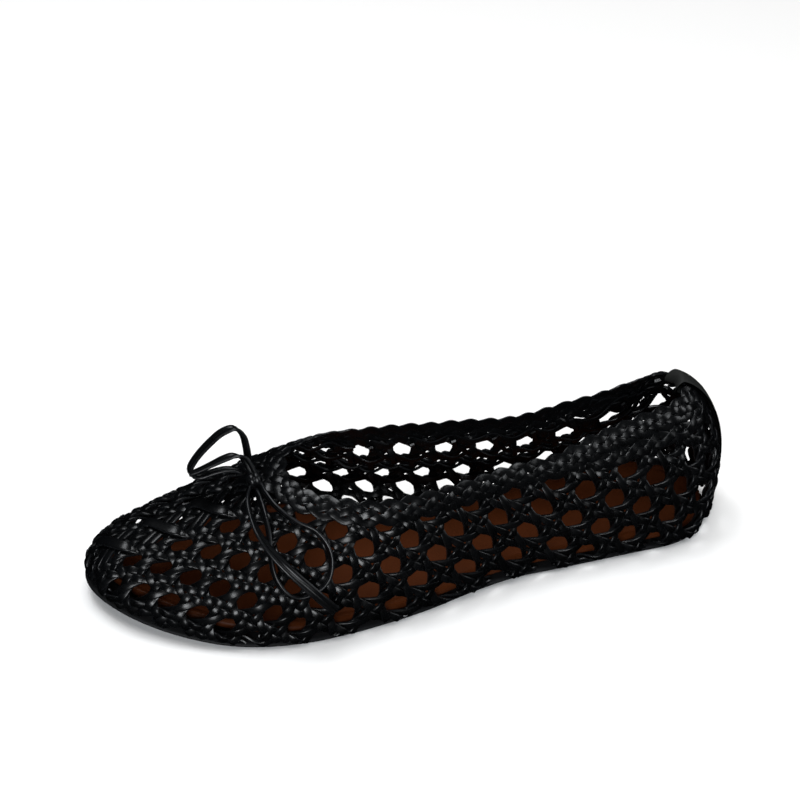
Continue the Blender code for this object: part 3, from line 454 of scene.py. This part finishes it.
def between(grid, u, v):
    """Bilinear value of a grid at places counted along its first two sides."""
    u = np.clip(u, 0, grid.shape[0] - 1.001)
    v = np.clip(v, 0, grid.shape[1] - 1.001)
    i = u.astype(int)
    j = v.astype(int)
    a = (u - i)[..., None]
    b = (v - j)[..., None]
    low = grid[i, j] * (1 - a) + grid[i + 1, j] * a
    high = grid[i, j + 1] * (1 - a) + grid[i + 1, j + 1] * a
    return low * (1 - b) + high * b


def unit(vectors, least=1e-9):
    return vectors / np.maximum(np.linalg.norm(vectors, axis=-1, keepdims=True), least)


def centred(points):
    """Points moved from the heel's back to the row frame."""
    return points - np.array([*SHOE_MIDDLE, 0])


def flat(at):
    """(step, row) pairs as lengths on the flattened sheet."""
    return at * np.array([STEP_PITCH, ROW_PITCH])


def lengths_along(points):
    """Length from the start to each point of a line, or of each of several lines."""
    along = np.zeros(points.shape[:-1])
    along[..., 1:] = np.cumsum(np.linalg.norm(np.diff(points, axis=-2), axis=-1), axis=-1)
    return along


def spaced(line, gap):
    """A line of (step, row) pairs again, with points about a gap apart."""
    along = lengths_along(flat(line))
    at = np.linspace(0, along[-1], max(2, round(along[-1] / gap) + 1))
    return curve_at(at, along, line)


def evened(padded, reach):
    """Mean over a window along columns of numbers that are padded by its reach at both ends."""
    window = np.ones(2 * reach + 1) / (2 * reach + 1)
    return np.stack([np.convolve(column, window, "valid") for column in padded.T], -1)


def eased(line, reach):
    """A line of (step, row) pairs with its small kinks smoothed away."""
    fine = spaced(line, 1 * MM)
    ends = np.concatenate([2 * fine[:1] - fine[reach:0:-1], fine, 2 * fine[-1:] - fine[-2 : -2 - reach : -1]])
    return evened(ends, reach)


def inside_loop(points, loop):
    """Even-odd test of points against a closed loop."""
    x, y = points.T[:, :, None]
    ax, ay = loop.T
    bx, by = np.roll(loop, -1, axis=0).T
    level = np.where(by == ay, 1e-30, by - ay)
    crossed = ((ay > y) != (by > y)) & (x < ax + (y - ay) * (bx - ax) / level)
    return crossed.sum(axis=1) % 2 == 1


def add_object(name, data):
    obj = bpy.data.objects.new(name, data)
    bpy.context.scene.collection.objects.link(obj)
    return obj


class Piece:
    """Points, faces and surface attributes of one mesh, gathered from lofted strips."""

    def __init__(self):
        self.points = []
        self.faces = []
        self.edge = []
        self.tone = []
        self.uv = []
        self.count = 0

    def loft(self, rings, edge, along, across, tone=0.5):
        """A closed tube through rings that all have the same number of points."""
        stations, around = rings.shape[:2]
        first = self.count + np.arange(stations * around).reshape(stations, around)
        after = np.roll(first, -1, axis=1)
        quads = np.stack([first[:-1], after[:-1], after[1:], first[1:]], -1).reshape(-1, 4)
        self.faces += quads.tolist()
        self.faces += [first[0, ::-1].tolist(), first[-1].tolist()]
        self.points.append(rings.reshape(-1, 3))
        self.edge.append(np.broadcast_to(edge, (stations, around)).ravel())
        self.tone.append(np.full(stations * around, tone))
        uv = np.stack(np.broadcast_arrays(along[:, None], across[None]), -1)
        self.uv.append(uv.reshape(-1, 2))
        self.count += stations * around

    def build(self, name, look, slot, replaces=()):
        mesh = bpy.data.meshes.new(name)
        points = centred(np.concatenate(self.points))
        mesh.from_pydata(points.tolist(), [], self.faces)
        for label, values in (("edge", self.edge), ("tone", self.tone)):
            layer = mesh.attributes.new(label, "FLOAT", "POINT")
            layer.data.foreach_set("value", np.concatenate(values).astype(np.float32))
        corner = np.empty(len(mesh.loops), np.int32)
        mesh.loops.foreach_get("vertex_index", corner)
        uv = np.concatenate(self.uv)[corner]
        mesh.uv_layers.new(name="strip").data.foreach_set("uv", uv.astype(np.float32).ravel())
        mesh.materials.append(look)
        mesh.shade_smooth()
        mesh.set_sharp_from_angle(angle=SHARP_ANGLE)
        mesh.validate()
        obj = add_object(name, mesh)
        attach(obj, BODY)
        if replaces:
            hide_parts(*replaces)
        return obj


def both_sides(half):
    """A line of section points from its left half, which ends on the middle line."""
    half = np.array(half)
    return np.concatenate([half, half[-2::-1] * (-1, 1, 1)])


# Sections: across and height as shares of half the width and of the thickness, and how worn the edge is.
# A strip is flat with rounded edges; the lace has a groove down both faces.
STRIP_SECTION = both_sides((
    (-0.55, -0.50, 0), (-0.97, -0.44, 0.3), (-1, -0.05, 1), (-0.97, 0.22, 0.8), (-0.88, 0.40, 0.2),
    (-0.72, 0.48, 0), (0, 0.50, 0),
))
LACE_FACE = both_sides(((-1, 0, 1), (-0.92, 0.34, 0.8), (-0.62, 0.50, 0.2), (-0.22, 0.46, 0.1), (0, 0.26, 0)))
LACE_SECTION = np.concatenate([LACE_FACE, LACE_FACE[-2:0:-1] * (1, -1, 1)])


def add_ribbon(piece, points, normals, width, thickness, section=STRIP_SECTION, tone=0.5):
    """A strip that lies along points with its face towards the normals."""
    way = unit(np.gradient(points, axis=0))
    aside = unit(np.cross(normals, way))
    up = np.cross(way, aside)
    half = np.broadcast_to(width / 2, len(points))[:, None, None]
    thick = np.broadcast_to(thickness, len(points))[:, None, None]
    across = aside[:, None] * (half * section[None, :, :1])
    height = up[:, None] * (thick * section[None, :, 1:2])
    rings = points[:, None] + across + height
    piece.loft(rings, section[:, 2], lengths_along(points), section[:, 0] * np.max(half), tone)


def outline(sheet):
    """The collar's border, and the line under the shoe where the strips end."""
    open_part = np.flatnonzero(sheet.station <= THROAT)
    whole = np.arange(len(sheet.station))
    collar = [sheet.weave_at(side, open_part, 0 * open_part) for side in (1, -1)]
    below = [sheet.weave_at(side, whole, sheet.tables[side]["wall"] + TURN_REACH) for side in (1, -1)]
    front = np.array([[collar[0][-1, 0], RIDGE_ROW]])
    border = Border(sheet, eased(np.concatenate([collar[0], front, collar[1][::-1]]), 9))
    return border, eased(np.concatenate([below[0], below[1][::-1]]), 4)


class Border:
    """A band of the sheet beside a line: length along it and distance from it, to (step, row) pairs."""

    REACH = 14 * MM
    LAYERS = 29
    MEASURED = 8  # layer along which the band's length is measured

    def __init__(self, sheet, line):
        self.sheet = sheet
        gap = self.REACH / (self.LAYERS - 1)
        layers = [line]
        for _ in range(self.LAYERS - 1):
            line = line + self.aside(line) * gap
            layers.append(line)
        self.grid = np.stack(layers, axis=1)
        self.along = lengths_along(sheet.place(layers[self.MEASURED]))

    def aside(self, line):
        """Direction on the sheet square to the line, one metre long there, with kinks evened out."""
        way = np.gradient(line, axis=0)
        aa, ab, bb = self.sheet.metric(line)
        turned = np.stack([way[:, 1], -way[:, 0]], -1)
        across = np.stack([bb * turned[:, 0] - ab * turned[:, 1], aa * turned[:, 1] - ab * turned[:, 0]], -1)
        size = aa * across[:, 0] ** 2 + 2 * ab * across[:, 0] * across[:, 1] + bb * across[:, 1] ** 2
        across = across / np.sqrt(np.maximum(size, 1e-18))[:, None]
        return evened(np.pad(across, ((4, 4), (0, 0)), "edge"), 4)

    def at(self, along, depth):
        """(step, row) pairs at lengths along the band and depths into it."""
        place = np.interp(along, self.along, np.arange(len(self.along)))
        return between(self.grid, place, depth / self.REACH * (self.LAYERS - 1))

    def line(self, depth):
        return self.at(self.along, np.full(len(self.along), depth))


def nearest(points, line):
    """Distance from each point to the nearest point of a line."""
    best = np.full(len(points), np.inf)
    for start in range(0, len(line), 64):
        gap = points[:, None] - line[None, start : start + 64]
        best = np.minimum(best, np.sqrt((gap**2).sum(-1)).min(axis=1))
    return best


class Weave:
    """Strips of the upper, cut to the space between the borders."""

    def __init__(self, sheet, collar, below):
        self.sheet = sheet
        top = spaced(collar.line(COLLAR_WIDTH - UNDER_BORDER), 1 * MM)
        low = spaced(below, 1 * MM)
        self.loop = flat(np.concatenate([top, low[::-1]]))
        self.edges = [flat(top), flat(low)]

    def runs(self, at):
        """Stretches of a strip's line that lie inside the borders."""
        within = inside_loop(flat(at), self.loop)
        cuts = np.flatnonzero(np.diff(within.astype(int), prepend=0, append=0))
        return [slice(a, b) for a, b in zip(cuts[::2], cuts[1::2]) if b - a > LEAST_RUN]

    def add_strip(self, piece, at, rise, wave, sink=0):
        """One strip along (step, row) pairs that waves up and down, fuller where it lies on top."""
        tone = rng.random()
        level, growth, least = STRIP_FULLNESS
        height = WEAVE_DEPTH + rise * (wave - sink) + rng.normal(0, 1) * HEIGHT_SPREAD
        wide = STRIP_WIDTH * (1 + rng.normal(0, WIDTH_SPREAD)) * np.clip(level + growth * wave, least, None)
        thick = STRIP_THICKNESS * (1 + STRIP_SWELL * wave)
        for run in self.runs(at):
            place = at[run]
            near = np.minimum(*[nearest(flat(place), edge) for edge in self.edges])
            dive = BORDER_DIVE * np.clip(1 - near / UNDER_BORDER, 0, 1)
            points = self.sheet.place(place, height[run] - dive)
            normals = self.sheet.normal(place)
            add_ribbon(piece, points, normals, wide[run], thick[run], tone=tone)

    def pair_offset(self, at, way):
        """Steps and rows across a pair from its middle to its strips."""
        aa, ab, bb = self.sheet.metric(at)
        area = np.sqrt(np.maximum(aa * bb - ab**2, 1e-12))
        length = np.sqrt(aa * way[0] ** 2 + 2 * ab * way[0] * way[1] + bb * way[1] ** 2)
        return np.clip(PAIR_OFFSET * length / (2 * area), *PAIR_OFFSET_LIMITS)

    def add_pairs(self, piece, lean):
        """Pairs of strips along one diagonal: lean 1 for the first direction, -1 for the crossing one."""
        row = np.arange(*ROW_RANGE, WEAVE_POINT_GAP)
        for number in PAIR_NUMBERS:
            middle = np.stack([2 * number + lean * row, row], -1)
            offset = self.pair_offset(middle, (lean, 1))
            crossing = self.pair_offset(middle, (-lean, 1))
            from_knot = row - np.round(row)
            crest = PAIR_CREST * crossing
            inner = np.sin(np.pi / 2 * np.clip(from_knot / crest, -1, 1))
            outer = gentle(0, 1, (np.abs(from_knot) - crest) / (0.5 - crest))
            for strip in (-1, 1):
                at = middle + strip * offset[:, None] * np.array([-lean, 1])
                wave = lean * strip * inner * (1 - outer) - PAIR_DIP * outer
                self.add_strip(piece, at, PAIR_RISE, wave)

    def add_bundles(self, piece):
        """Pairs along the crossing diagonal that close the holes on the ridge."""
        share = np.linspace(-1, 1, 34)
        row = RIDGE_ROW + BUNDLE_HALF * share
        wave = BUNDLE_WAVE[0] - BUNDLE_WAVE[1] * share**4
        for line in BUNDLE_LINES:
            middle = np.stack([line - row, row], -1)
            offset = self.pair_offset(middle, (-1, 1))
            for strip in (-1, 1):
                self.add_strip(piece, middle + strip * offset[:, None], PAIR_RISE, wave)

    def add_singles(self, piece, across):
        """Single strips along the rows, or across them."""
        run = np.arange(*(ROW_RANGE if across else STEP_RANGE), WEAVE_POINT_GAP)
        for number in STEP_NUMBERS if across else ROW_NUMBERS:
            aside = number + 0.5 + SINGLE_BOW * np.cos(np.pi * (run + number + 1))
            at = np.stack([aside, run] if across else [run, aside], -1)
            wave = np.cos(np.pi * (run - 0.5 - number))
            self.add_strip(piece, at, SINGLE_RISE, wave if across else -wave, SINGLE_SINK)


def add_plait(piece, border, plait, along, top, width, lift):
    """A flat plait down a border; each strand goes across and back, over and under the others."""
    sheet = border.sheet
    strands, repeat = plait
    reach = width - PLAIT_TUCK * PLAIT_STRAND
    for number in range(strands):
        turn = 2 * np.pi * (along / repeat + number / strands)
        across = np.arcsin(PLAIT_TURN * np.sin(turn)) / np.arcsin(PLAIT_TURN)
        crossing = (1 - across) / 2 * strands
        fade = np.clip(np.minimum(crossing, strands - crossing), 0, 1)
        going = np.where(np.cos(turn) > 0, 1, -1)
        wave = going * np.cos(np.pi * crossing) * fade
        wave = np.convolve(np.pad(wave, 2, "edge"), np.ones(5) / 5, "valid")
        height = PLAIT_CROWN + lift - PLAIT_SINK * across**2 + PLAIT_RISE * wave
        at = border.at(along, top + width / 2 + across * reach / 2)
        wide = PLAIT_STRAND * (PLAIT_WIDE[0] + PLAIT_WIDE[1] * wave)
        thick = PLAIT_THICKNESS * (PLAIT_THICK[0] + PLAIT_THICK[1] * wave)
        add_ribbon(piece, sheet.place(at, height), sheet.normal(at), wide, thick, tone=rng.random())


def add_plaits(piece, sheet, collar):
    """The collar's plait, a second one below it round the heel, and one on each side of the back seam."""
    along = np.arange(0, collar.along[-1], PLAIT_POINT_GAP)
    add_plait(piece, collar, COLLAR_PLAIT, along, 0 * along, COLLAR_WIDTH, 0 * along)
    for side, (first, full) in HEEL_PLAIT_FROM.items():
        from_seam = np.arange(0, first, PLAIT_POINT_GAP)
        out = gentle(0, 1, (first - from_seam) / (first - full))
        along = from_seam if side > 0 else collar.along[-1] - from_seam
        top = HEEL_PLAIT_DEPTH * (HEEL_PLAIT_START + (1 - HEEL_PLAIT_START) * out)
        add_plait(piece, collar, HEEL_PLAIT, along, top, HEEL_PLAIT_WIDTH, HEEL_PLAIT_LIFT * (1 - out))
        down = np.linspace(COLLAR_WIDTH / 2, sheet.tables[side]["wall"][0] + TURN_RADIUS, 60)
        seam = sheet.weave_at(side, 0, down)
        beside = Border(sheet, spaced(seam[::-1] if side > 0 else seam, 1 * MM))
        along = np.arange(0, beside.along[-1], PLAIT_POINT_GAP)
        add_plait(piece, beside, HEEL_PLAIT, along, SEAM_PLAIT_DEPTH + 0 * along, SEAM_PLAIT_WIDTH, 0 * along)


def smooth_route(route):
    """Points a small gap apart on a smooth curve through a route's points."""
    knots = np.array(route, float) * MM
    padded = np.concatenate([2 * knots[:1] - knots[1:2], knots, 2 * knots[-1:] - knots[-2:-1]])
    dense = []
    for a, b, c, d in zip(padded, padded[1:], padded[2:], padded[3:]):
        t = np.linspace(0, 1, 24, endpoint=False)[:, None]
        cubic = 2 * a - 5 * b + 4 * c - d
        dense.append(b + 0.5 * ((c - a) * t + cubic * t**2 + (3 * b - a - 3 * c + d) * t**3))
    dense = np.concatenate([*dense, knots[-1:]])
    along = lengths_along(dense)
    at = np.linspace(0, along[-1], round(along[-1] / ROUTE_POINT_GAP) + 1)
    return curve_at(at, along, dense)


def add_bow(look):
    """Loops and ends of the bow as one flat lace each, and the knot wrapped round them."""
    for name, (start, end, far_end, route) in BOW.items():
        line = smooth_route((KNOT_AT, *route))
        along = lengths_along(line)
        share = gentle(0, along[-1], along)[:, None]
        facing = unit(np.array(start) * (1 - share) + np.array(end) * share)
        way = unit(np.gradient(line, axis=0))
        piece = Piece()
        add_ribbon(piece, line, np.cross(way, facing), LACE_WIDTH, LACE_THICKNESS, LACE_SECTION)
        obj = piece.build("flat_" + name, look, "lace_leather", [name])
    knot = Piece()
    turn = np.linspace(0, 2 * np.pi, 41)[:, None]
    centre = np.array(KNOT_AT) * MM + KNOT_SHIFT
    for first, second, wide, tall in KNOT_WRAPS:
        ring = centre + MM * (np.cos(turn) * np.array(first) * wide + np.sin(turn) * np.array(second) * tall)
        add_ribbon(knot, ring, unit(ring - centre), LACE_WIDTH, LACE_THICKNESS, LACE_SECTION)
    knot.build("wrapped_knot", look, "lace_leather", ["bow_knot"])


def add_vamp_lace(sheet, look):
    """The flat lace where it is whipped across the vamp's middle line."""
    piece = Piece()
    for centre in FLOAT_STEPS:
        along = np.linspace(-FLOAT_REACH, FLOAT_REACH, 44)
        bend = FLOAT_BEND * np.sin(np.pi * along)
        at = np.stack([centre + FLOAT_HALF[0] * along, RIDGE_ROW + FLOAT_HALF[1] * along + bend], -1)
        height = FLOAT_RISE - FLOAT_TUCK * np.abs(along) ** 4
        add_ribbon(piece, sheet.place(at, height), sheet.normal(at), FLOAT_WIDTH, FLOAT_THICKNESS)
    piece.build("flat_vamp_lace", look, "lace_leather", ["vamp_lace_1", "vamp_lace_2", "vamp_lace_3"])


def sole_outline(x, inset):
    """Outer and inner edge of the sole at each x, moved in from the sole line."""
    edges = []
    round_heel = np.sqrt(np.clip(1 - (np.clip(HEEL_AXIS - x, 0, None) / HEEL_AXIS) ** 2, 0, 1))
    for side in (1, -1):
        width = half_width(np.maximum(x, HEEL_AXIS), side) * round_heel
        edges.append(centre_line(x) + side * np.maximum(width - inset, 0))
    return edges


# Half sections from the bottom's edge round to the middle of the top: distance in from the edge
# and height in mm, and how worn the edge is
OUTSOLE_SECTION = (
    (9.0, 0.0, 0.0), (2.0, 0.0, 0.1), (0.4, 0.12, 0.6), (0.0, 0.5, 0.9), (0.0, 1.1, 0.9), (0.4, 1.5, 0.7),
    (1.2, 1.7, 0.3), (3.0, 2.3, 0.0), (6.0, 2.5, 0.0),
)
OUTSOLE_INSET = 1.4 * MM  # the weave turns under beside it; it comes out more at the toe
OUTSOLE_TOE_INSET = 0.2 * MM
INSOLE_SECTION = (
    (10.0, 0.0, 0.0), (2.0, 0.1, 0.0), (0.6, 0.7, 0.0), (0.0, 1.7, 0.2), (0.2, 2.7, 0.5), (0.9, 3.5, 0.9),
    (2.0, 3.9, 1.0), (3.2, 3.75, 0.8), (4.0, 3.35, 0.3), (4.5, 3.2, 0.0), (5.2, 3.3, 0.0), (8.0, 3.3, 0.0),
    (12.0, 3.1, 0.0),
)
INSOLE_INSET = 3.3 * MM
INSOLE_TOE_INSET = 6.5 * MM
SECTION_FULL_HALF = 16 * MM  # a section shrinks where half the sole is narrower than this


def add_sole(name, look, slot, node, section, inset, toe_inset, low):
    """A sole lofted along x from a half section, the same on both sides."""
    count = 120
    start = inset
    end = LENGTH - toe_inset
    x = start + (end - start) * (0.5 - 0.5 * np.cos(np.linspace(0.012, 1 - 0.012, count) * np.pi))
    on_last = LENGTH * (x - start) / (end - start)
    near_toe = ramp(THROAT, LENGTH, x)
    outer, inner = sole_outline(on_last, inset + (toe_inset - inset) * near_toe)
    middle = (outer + inner) / 2
    half = (outer - inner) / 2
    base = feather_height(np.clip(x, 0, LENGTH)) + low
    table = np.array(section)
    narrow = np.minimum(1, half / SECTION_FULL_HALF)[:, None]
    aside = half[:, None] - table[None, :, 0] * MM * narrow
    height = base[:, None] + table[None, :, 1] * MM * narrow**0.25
    y = np.concatenate([middle[:, None] + aside, (middle[:, None] - aside)[:, ::-1]], axis=1)
    z = np.concatenate([height, height[:, ::-1]], axis=1)
    rings = np.stack([np.broadcast_to(x[:, None], y.shape), y, z], -1)
    edge = np.concatenate([table[:, 2], table[::-1, 2]])
    across = np.concatenate([table[:, 0], -table[::-1, 0]]) * MM
    piece = Piece()
    piece.loft(rings, edge, x, across)
    piece.build(name, look, slot, [node])


BACK_STRIP_WIDTH = 9 * MM
BACK_STRIP_THICKNESS = 1.1 * MM
BACK_STRIP_OUT = 1.75 * MM  # height of its middle outside and inside the wall
BACK_STRIP_IN = -2.75 * MM
BACK_STRIP_INSIDE = 26 * MM  # its length down the inside
BACK_STRIP_FLOOR_GAP = 1.5 * MM  # from its lower end to the sole line
BACK_STRIP_FOLD = 0.62  # height of the fold, as a share of its radius


def add_back_strip(sheet, look):
    """Smooth strip down the back seam, folded over the collar."""
    wall = sheet.tables[1]["wall"][0]
    middle = (BACK_STRIP_OUT + BACK_STRIP_IN) / 2
    radius = (BACK_STRIP_OUT - BACK_STRIP_IN) / 2
    fold = np.linspace(0, np.pi, 15)
    outside = np.linspace(wall - BACK_STRIP_FLOOR_GAP, 1 * MM, 44)
    inside = np.linspace(1 * MM, BACK_STRIP_INSIDE, 22)
    down = np.concatenate([outside, -radius * BACK_STRIP_FOLD * np.sin(fold), inside])
    over = middle + radius * np.cos(fold)
    height = np.concatenate([0 * outside + BACK_STRIP_OUT, over, 0 * inside + BACK_STRIP_IN])
    way = unit(np.stack([np.gradient(down), np.gradient(height)], -1))
    out = np.stack([way[:, 1], -way[:, 0]], -1)
    corner = np.array([(-1, -0.3), (-1, 0.3), (-0.94, 0.46), (-0.8, 0.5), (-0.4, 0.5), (0, 0.5)])
    section = np.concatenate([corner, corner[-2::-1] * (-1, 1)])
    section = np.concatenate([section, section[::-1] * (1, -1)])[:-1]
    near_seam = np.arange(60)
    rings = np.empty((len(down), len(section), 3))
    for i in range(len(down)):
        for k, (aside, rise) in enumerate(section):
            place = np.array([down[i], height[i]]) + out[i] * rise * BACK_STRIP_THICKNESS
            y = aside * BACK_STRIP_WIDTH / 2
            side = 1 if y >= 0 else -1
            raised = np.full(len(near_seam), place[1])
            line = sheet.place(sheet.weave_at(side, near_seam, max(place[0], 0) + 0 * raised), raised)
            if place[0] < 0:
                lower = sheet.place(sheet.weave_at(side, near_seam, 2 * MM + 0 * raised), raised)
                line = line - unit(line - lower) * place[0]
            rings[i, k] = curve_at(abs(y), side * line[:, 1], line)
            rings[i, k, 1] = y
    edge = np.abs(section[:, 0]) > 0.9
    piece = Piece()
    piece.loft(rings, edge.astype(float), lengths_along(rings[:, 5]), section[:, 0] * BACK_STRIP_WIDTH / 2)
    piece.build("folded_back_strip", look, "strip_leather", ["back_strip"])


def new_material(name):
    made = bpy.data.materials.new(name)
    made.use_nodes = True
    return made, made.node_tree, made.node_tree.nodes["Principled BSDF"]


def set_inputs(tree, node, inputs):
    """Sets a node's inputs to values, or links them to sockets."""
    for label, value in inputs.items():
        if isinstance(value, bpy.types.NodeSocket):
            tree.links.new(value, node.inputs[label])
        else:
            node.inputs[label].default_value = value


def add_node(tree, kind, output, inputs, **settings):
    """Adds a node with these inputs and settings, and gives one of its outputs."""
    node = tree.nodes.new(kind)
    for label, value in settings.items():
        setattr(node, label, value)
    set_inputs(tree, node, inputs)
    return node.outputs[output]


def attribute(tree, name):
    return add_node(tree, "ShaderNodeAttribute", "Fac", {}, attribute_name=name)


def value_range(tree, source, low, high):
    """A number mapped from 0..1 to a range."""
    return add_node(tree, "ShaderNodeMapRange", "Result", {"Value": source, "To Min": low, "To Max": high})


def noise(tree, coordinate, scale, detail, roughness=0.55):
    inputs = {"Vector": coordinate, "Scale": scale, "Detail": detail, "Roughness": roughness}
    return add_node(tree, "ShaderNodeTexNoise", "Fac", inputs)


def mixed_colour(tree, share, first, second):
    """A blend of two colours, each a tuple or a socket."""
    a, b = [(*colour, 1) if isinstance(colour, tuple) else colour for colour in (first, second)]
    # Its colours are inputs 6 and 7 and output 2, which share their names with others
    return add_node(tree, "ShaderNodeMix", 2, {"Factor": share, 6: a, 7: b}, data_type="RGBA")


def bump(tree, height, depth, **under):
    """A bump of a depth in metres, over another one that is given as Normal."""
    inputs = {"Strength": 1, "Distance": depth, "Height": height, **under}
    return add_node(tree, "ShaderNodeBump", "Normal", inputs)


def leather(name, colour, worn, gloss, shine, grain_depth, fibre_depth):
    """Leather with a fine grain, fibres along the strip, a tone for each strip and paler worn edges."""
    made, tree, shader = new_material(name)
    place = add_node(tree, "ShaderNodeTexCoord", "Object", {})
    strip = add_node(tree, "ShaderNodeUVMap", "UV", {}, uv_map="strip")
    along = add_node(tree, "ShaderNodeMapping", "Vector", {"Vector": strip, "Scale": FIBRE_SCALE})
    fibre = noise(tree, along, 1.0, 2.0)
    grain = noise(tree, place, GRAIN_SCALE, 3.0, 0.6)
    patch = noise(tree, place, PATCH_SCALE, 2.0)
    dark, light = [tuple(share * c for c in colour) for share in TONE_RANGE]
    body = mixed_colour(tree, attribute(tree, "tone"), dark, light)
    wear = value_range(tree, attribute(tree, "edge"), 0.0, EDGE_WEAR)
    scuff = add_node(tree, "ShaderNodeMath", 0, {0: wear, 1: patch}, operation="MULTIPLY")
    inputs = {
        "Base Color": mixed_colour(tree, scuff, body, worn),
        "Roughness": value_range(tree, patch, gloss - GLOSS_SPREAD, gloss + GLOSS_SPREAD),
        "Specular IOR Level": shine,
        "Normal": bump(tree, fibre, fibre_depth, Normal=bump(tree, grain, grain_depth)),
    }
    set_inputs(tree, shader, inputs)
    return made


def cognac_leather():
    """Smooth brown leather with cloudy tone and a glossier rolled edge."""
    made, tree, shader = new_material("cognac_leather")
    place = add_node(tree, "ShaderNodeTexCoord", "Object", {})
    cloud = noise(tree, place, INSOLE_NOISE[0], 4.0, 0.6)
    grain = noise(tree, place, INSOLE_NOISE[1], 3.0, 0.6)
    crease = noise(tree, place, INSOLE_NOISE[2], 2.0, 0.5)
    inputs = {
        "Base Color": mixed_colour(tree, cloud, DARK_COGNAC, COGNAC),
        "Roughness": value_range(tree, attribute(tree, "edge"), *INSOLE_ROUGHNESS),
        "Specular IOR Level": INSOLE_SHINE,
        "Normal": bump(tree, crease, INSOLE_RELIEF, Normal=bump(tree, grain, INSOLE_RELIEF)),
    }
    set_inputs(tree, shader, inputs)
    return made


def add_light(name, kind, place, aim, energy, colour):
    obj = add_object(name, bpy.data.lights.new(name, kind))
    obj.data.energy = energy
    obj.data.color = colour
    obj.matrix_world = looking(place, aim, 0)
    return obj


def looking(place, aim, roll):
    """Matrix of a camera or lamp at a place that faces an aim, rolled by degrees."""
    back = unit(np.subtract(place, aim))
    right = unit(np.cross((0, 0, 1), back))
    angle = np.radians(roll)
    turned = np.cos(angle) * right + np.sin(angle) * np.cross(back, right)
    columns = np.stack([turned, np.cross(back, turned), back, place], -1)
    return Matrix([*columns.tolist(), (0, 0, 0, 1)])


def add_stage():
    """Pale floor, soft light and the photograph's camera."""
    mesh = bpy.data.meshes.new("pale_floor")
    far = FLOOR_REACH
    corners = [(-far, -far, 0), (far, -far, 0), (far, far, 0), (-far, far, 0)]
    mesh.from_pydata(corners, [], [(0, 1, 2, 3)])
    made, tree, shader = new_material("pale_floor")
    set_inputs(tree, shader, {"Base Color": PALE_WHITE, "Roughness": FLOOR_ROUGHNESS})
    mesh.materials.append(made)
    floor = add_object("pale_floor", mesh)
    floor.visible_glossy = False  # the leather doesn't mirror it, as with black flags round the shoe
    world = bpy.data.worlds.new("studio")
    bpy.context.scene.world = world
    world.use_nodes = True
    sky = world.node_tree.nodes["Background"]
    set_inputs(world.node_tree, sky, {"Color": PALE_WHITE, "Strength": SKY_STRENGTH})
    world.cycles_visibility.diffuse = False  # the sky is only seen, it lights nothing
    world.cycles_visibility.glossy = False
    for name, (place, aim, size, watts) in LIGHTS.items():
        lamp = add_light(name, "AREA", place, aim, watts, COOL_WHITE).data
        lamp.shape = "RECTANGLE"
        lamp.size, lamp.size_y = size
    fill = add_light("fill", "SUN", *FILL_LIGHT)
    fill.data.angle = FILL_ANGLE
    fill.visible_glossy = False
    camera = add_object("camera", bpy.data.cameras.new("camera"))
    camera.data.lens = CAMERA_LENS
    camera.data.sensor_width = CAMERA_SENSOR
    camera.matrix_world = looking(CAMERA_EYE, CAMERA_LOOK_AT, CAMERA_ROLL)
    bpy.context.scene.camera = camera
    bpy.context.scene.view_settings.view_transform = "Standard"


def main():
    sheet = Sheet()
    collar, below = outline(sheet)
    # Roughness, specular level, depth of the grain and of the fibres
    woven = leather("woven_leather", BLACK_LEATHER, EDGE_GREY, 0.28, 0.38, 0.02 * MM, 0.06 * MM)
    lace = leather("lace_leather", BLACK_LEATHER, EDGE_GREY, 0.30, 0.38, 0.02 * MM, 0.05 * MM)
    strip = leather("strip_leather", MATTE_BLACK, MATTE_BLACK, 0.62, 0.25, 0.05 * MM, 0.01 * MM)
    sole = leather("sole_leather", SOLE_BLACK, EDGE_GREY, 0.6, 0.2, 0.05 * MM, 0.02 * MM)
    add_stage()
    add_bow(lace)
    add_vamp_lace(sheet, lace)
    weave = Weave(sheet, collar, below)
    first, second, along, across, plaits = [Piece() for _ in range(5)]
    weave.add_pairs(first, 1)
    weave.add_pairs(second, -1)
    weave.add_bundles(second)
    weave.add_singles(along, across=False)
    weave.add_singles(across, across=True)
    add_plaits(plaits, sheet, collar)
    first.build("strips_first_diagonal", woven, "woven_leather", ["upper"])
    second.build("strips_second_diagonal", woven, "woven_leather")
    along.build("strips_along", woven, "woven_leather")
    across.build("strips_across", woven, "woven_leather")
    plaits.build("collar_plait", woven, "woven_leather")
    add_back_strip(sheet, strip)
    outsole = (OUTSOLE_SECTION, OUTSOLE_INSET, OUTSOLE_TOE_INSET, -FEATHER_HEIGHT)
    add_sole("leather_outsole", sole, "sole_leather", "outsole", *outsole)
    insole = (INSOLE_SECTION, INSOLE_INSET, INSOLE_TOE_INSET, 0)
    add_sole("wrapped_insole", cognac_leather(), "insole_leather", "insole", *insole)


main()
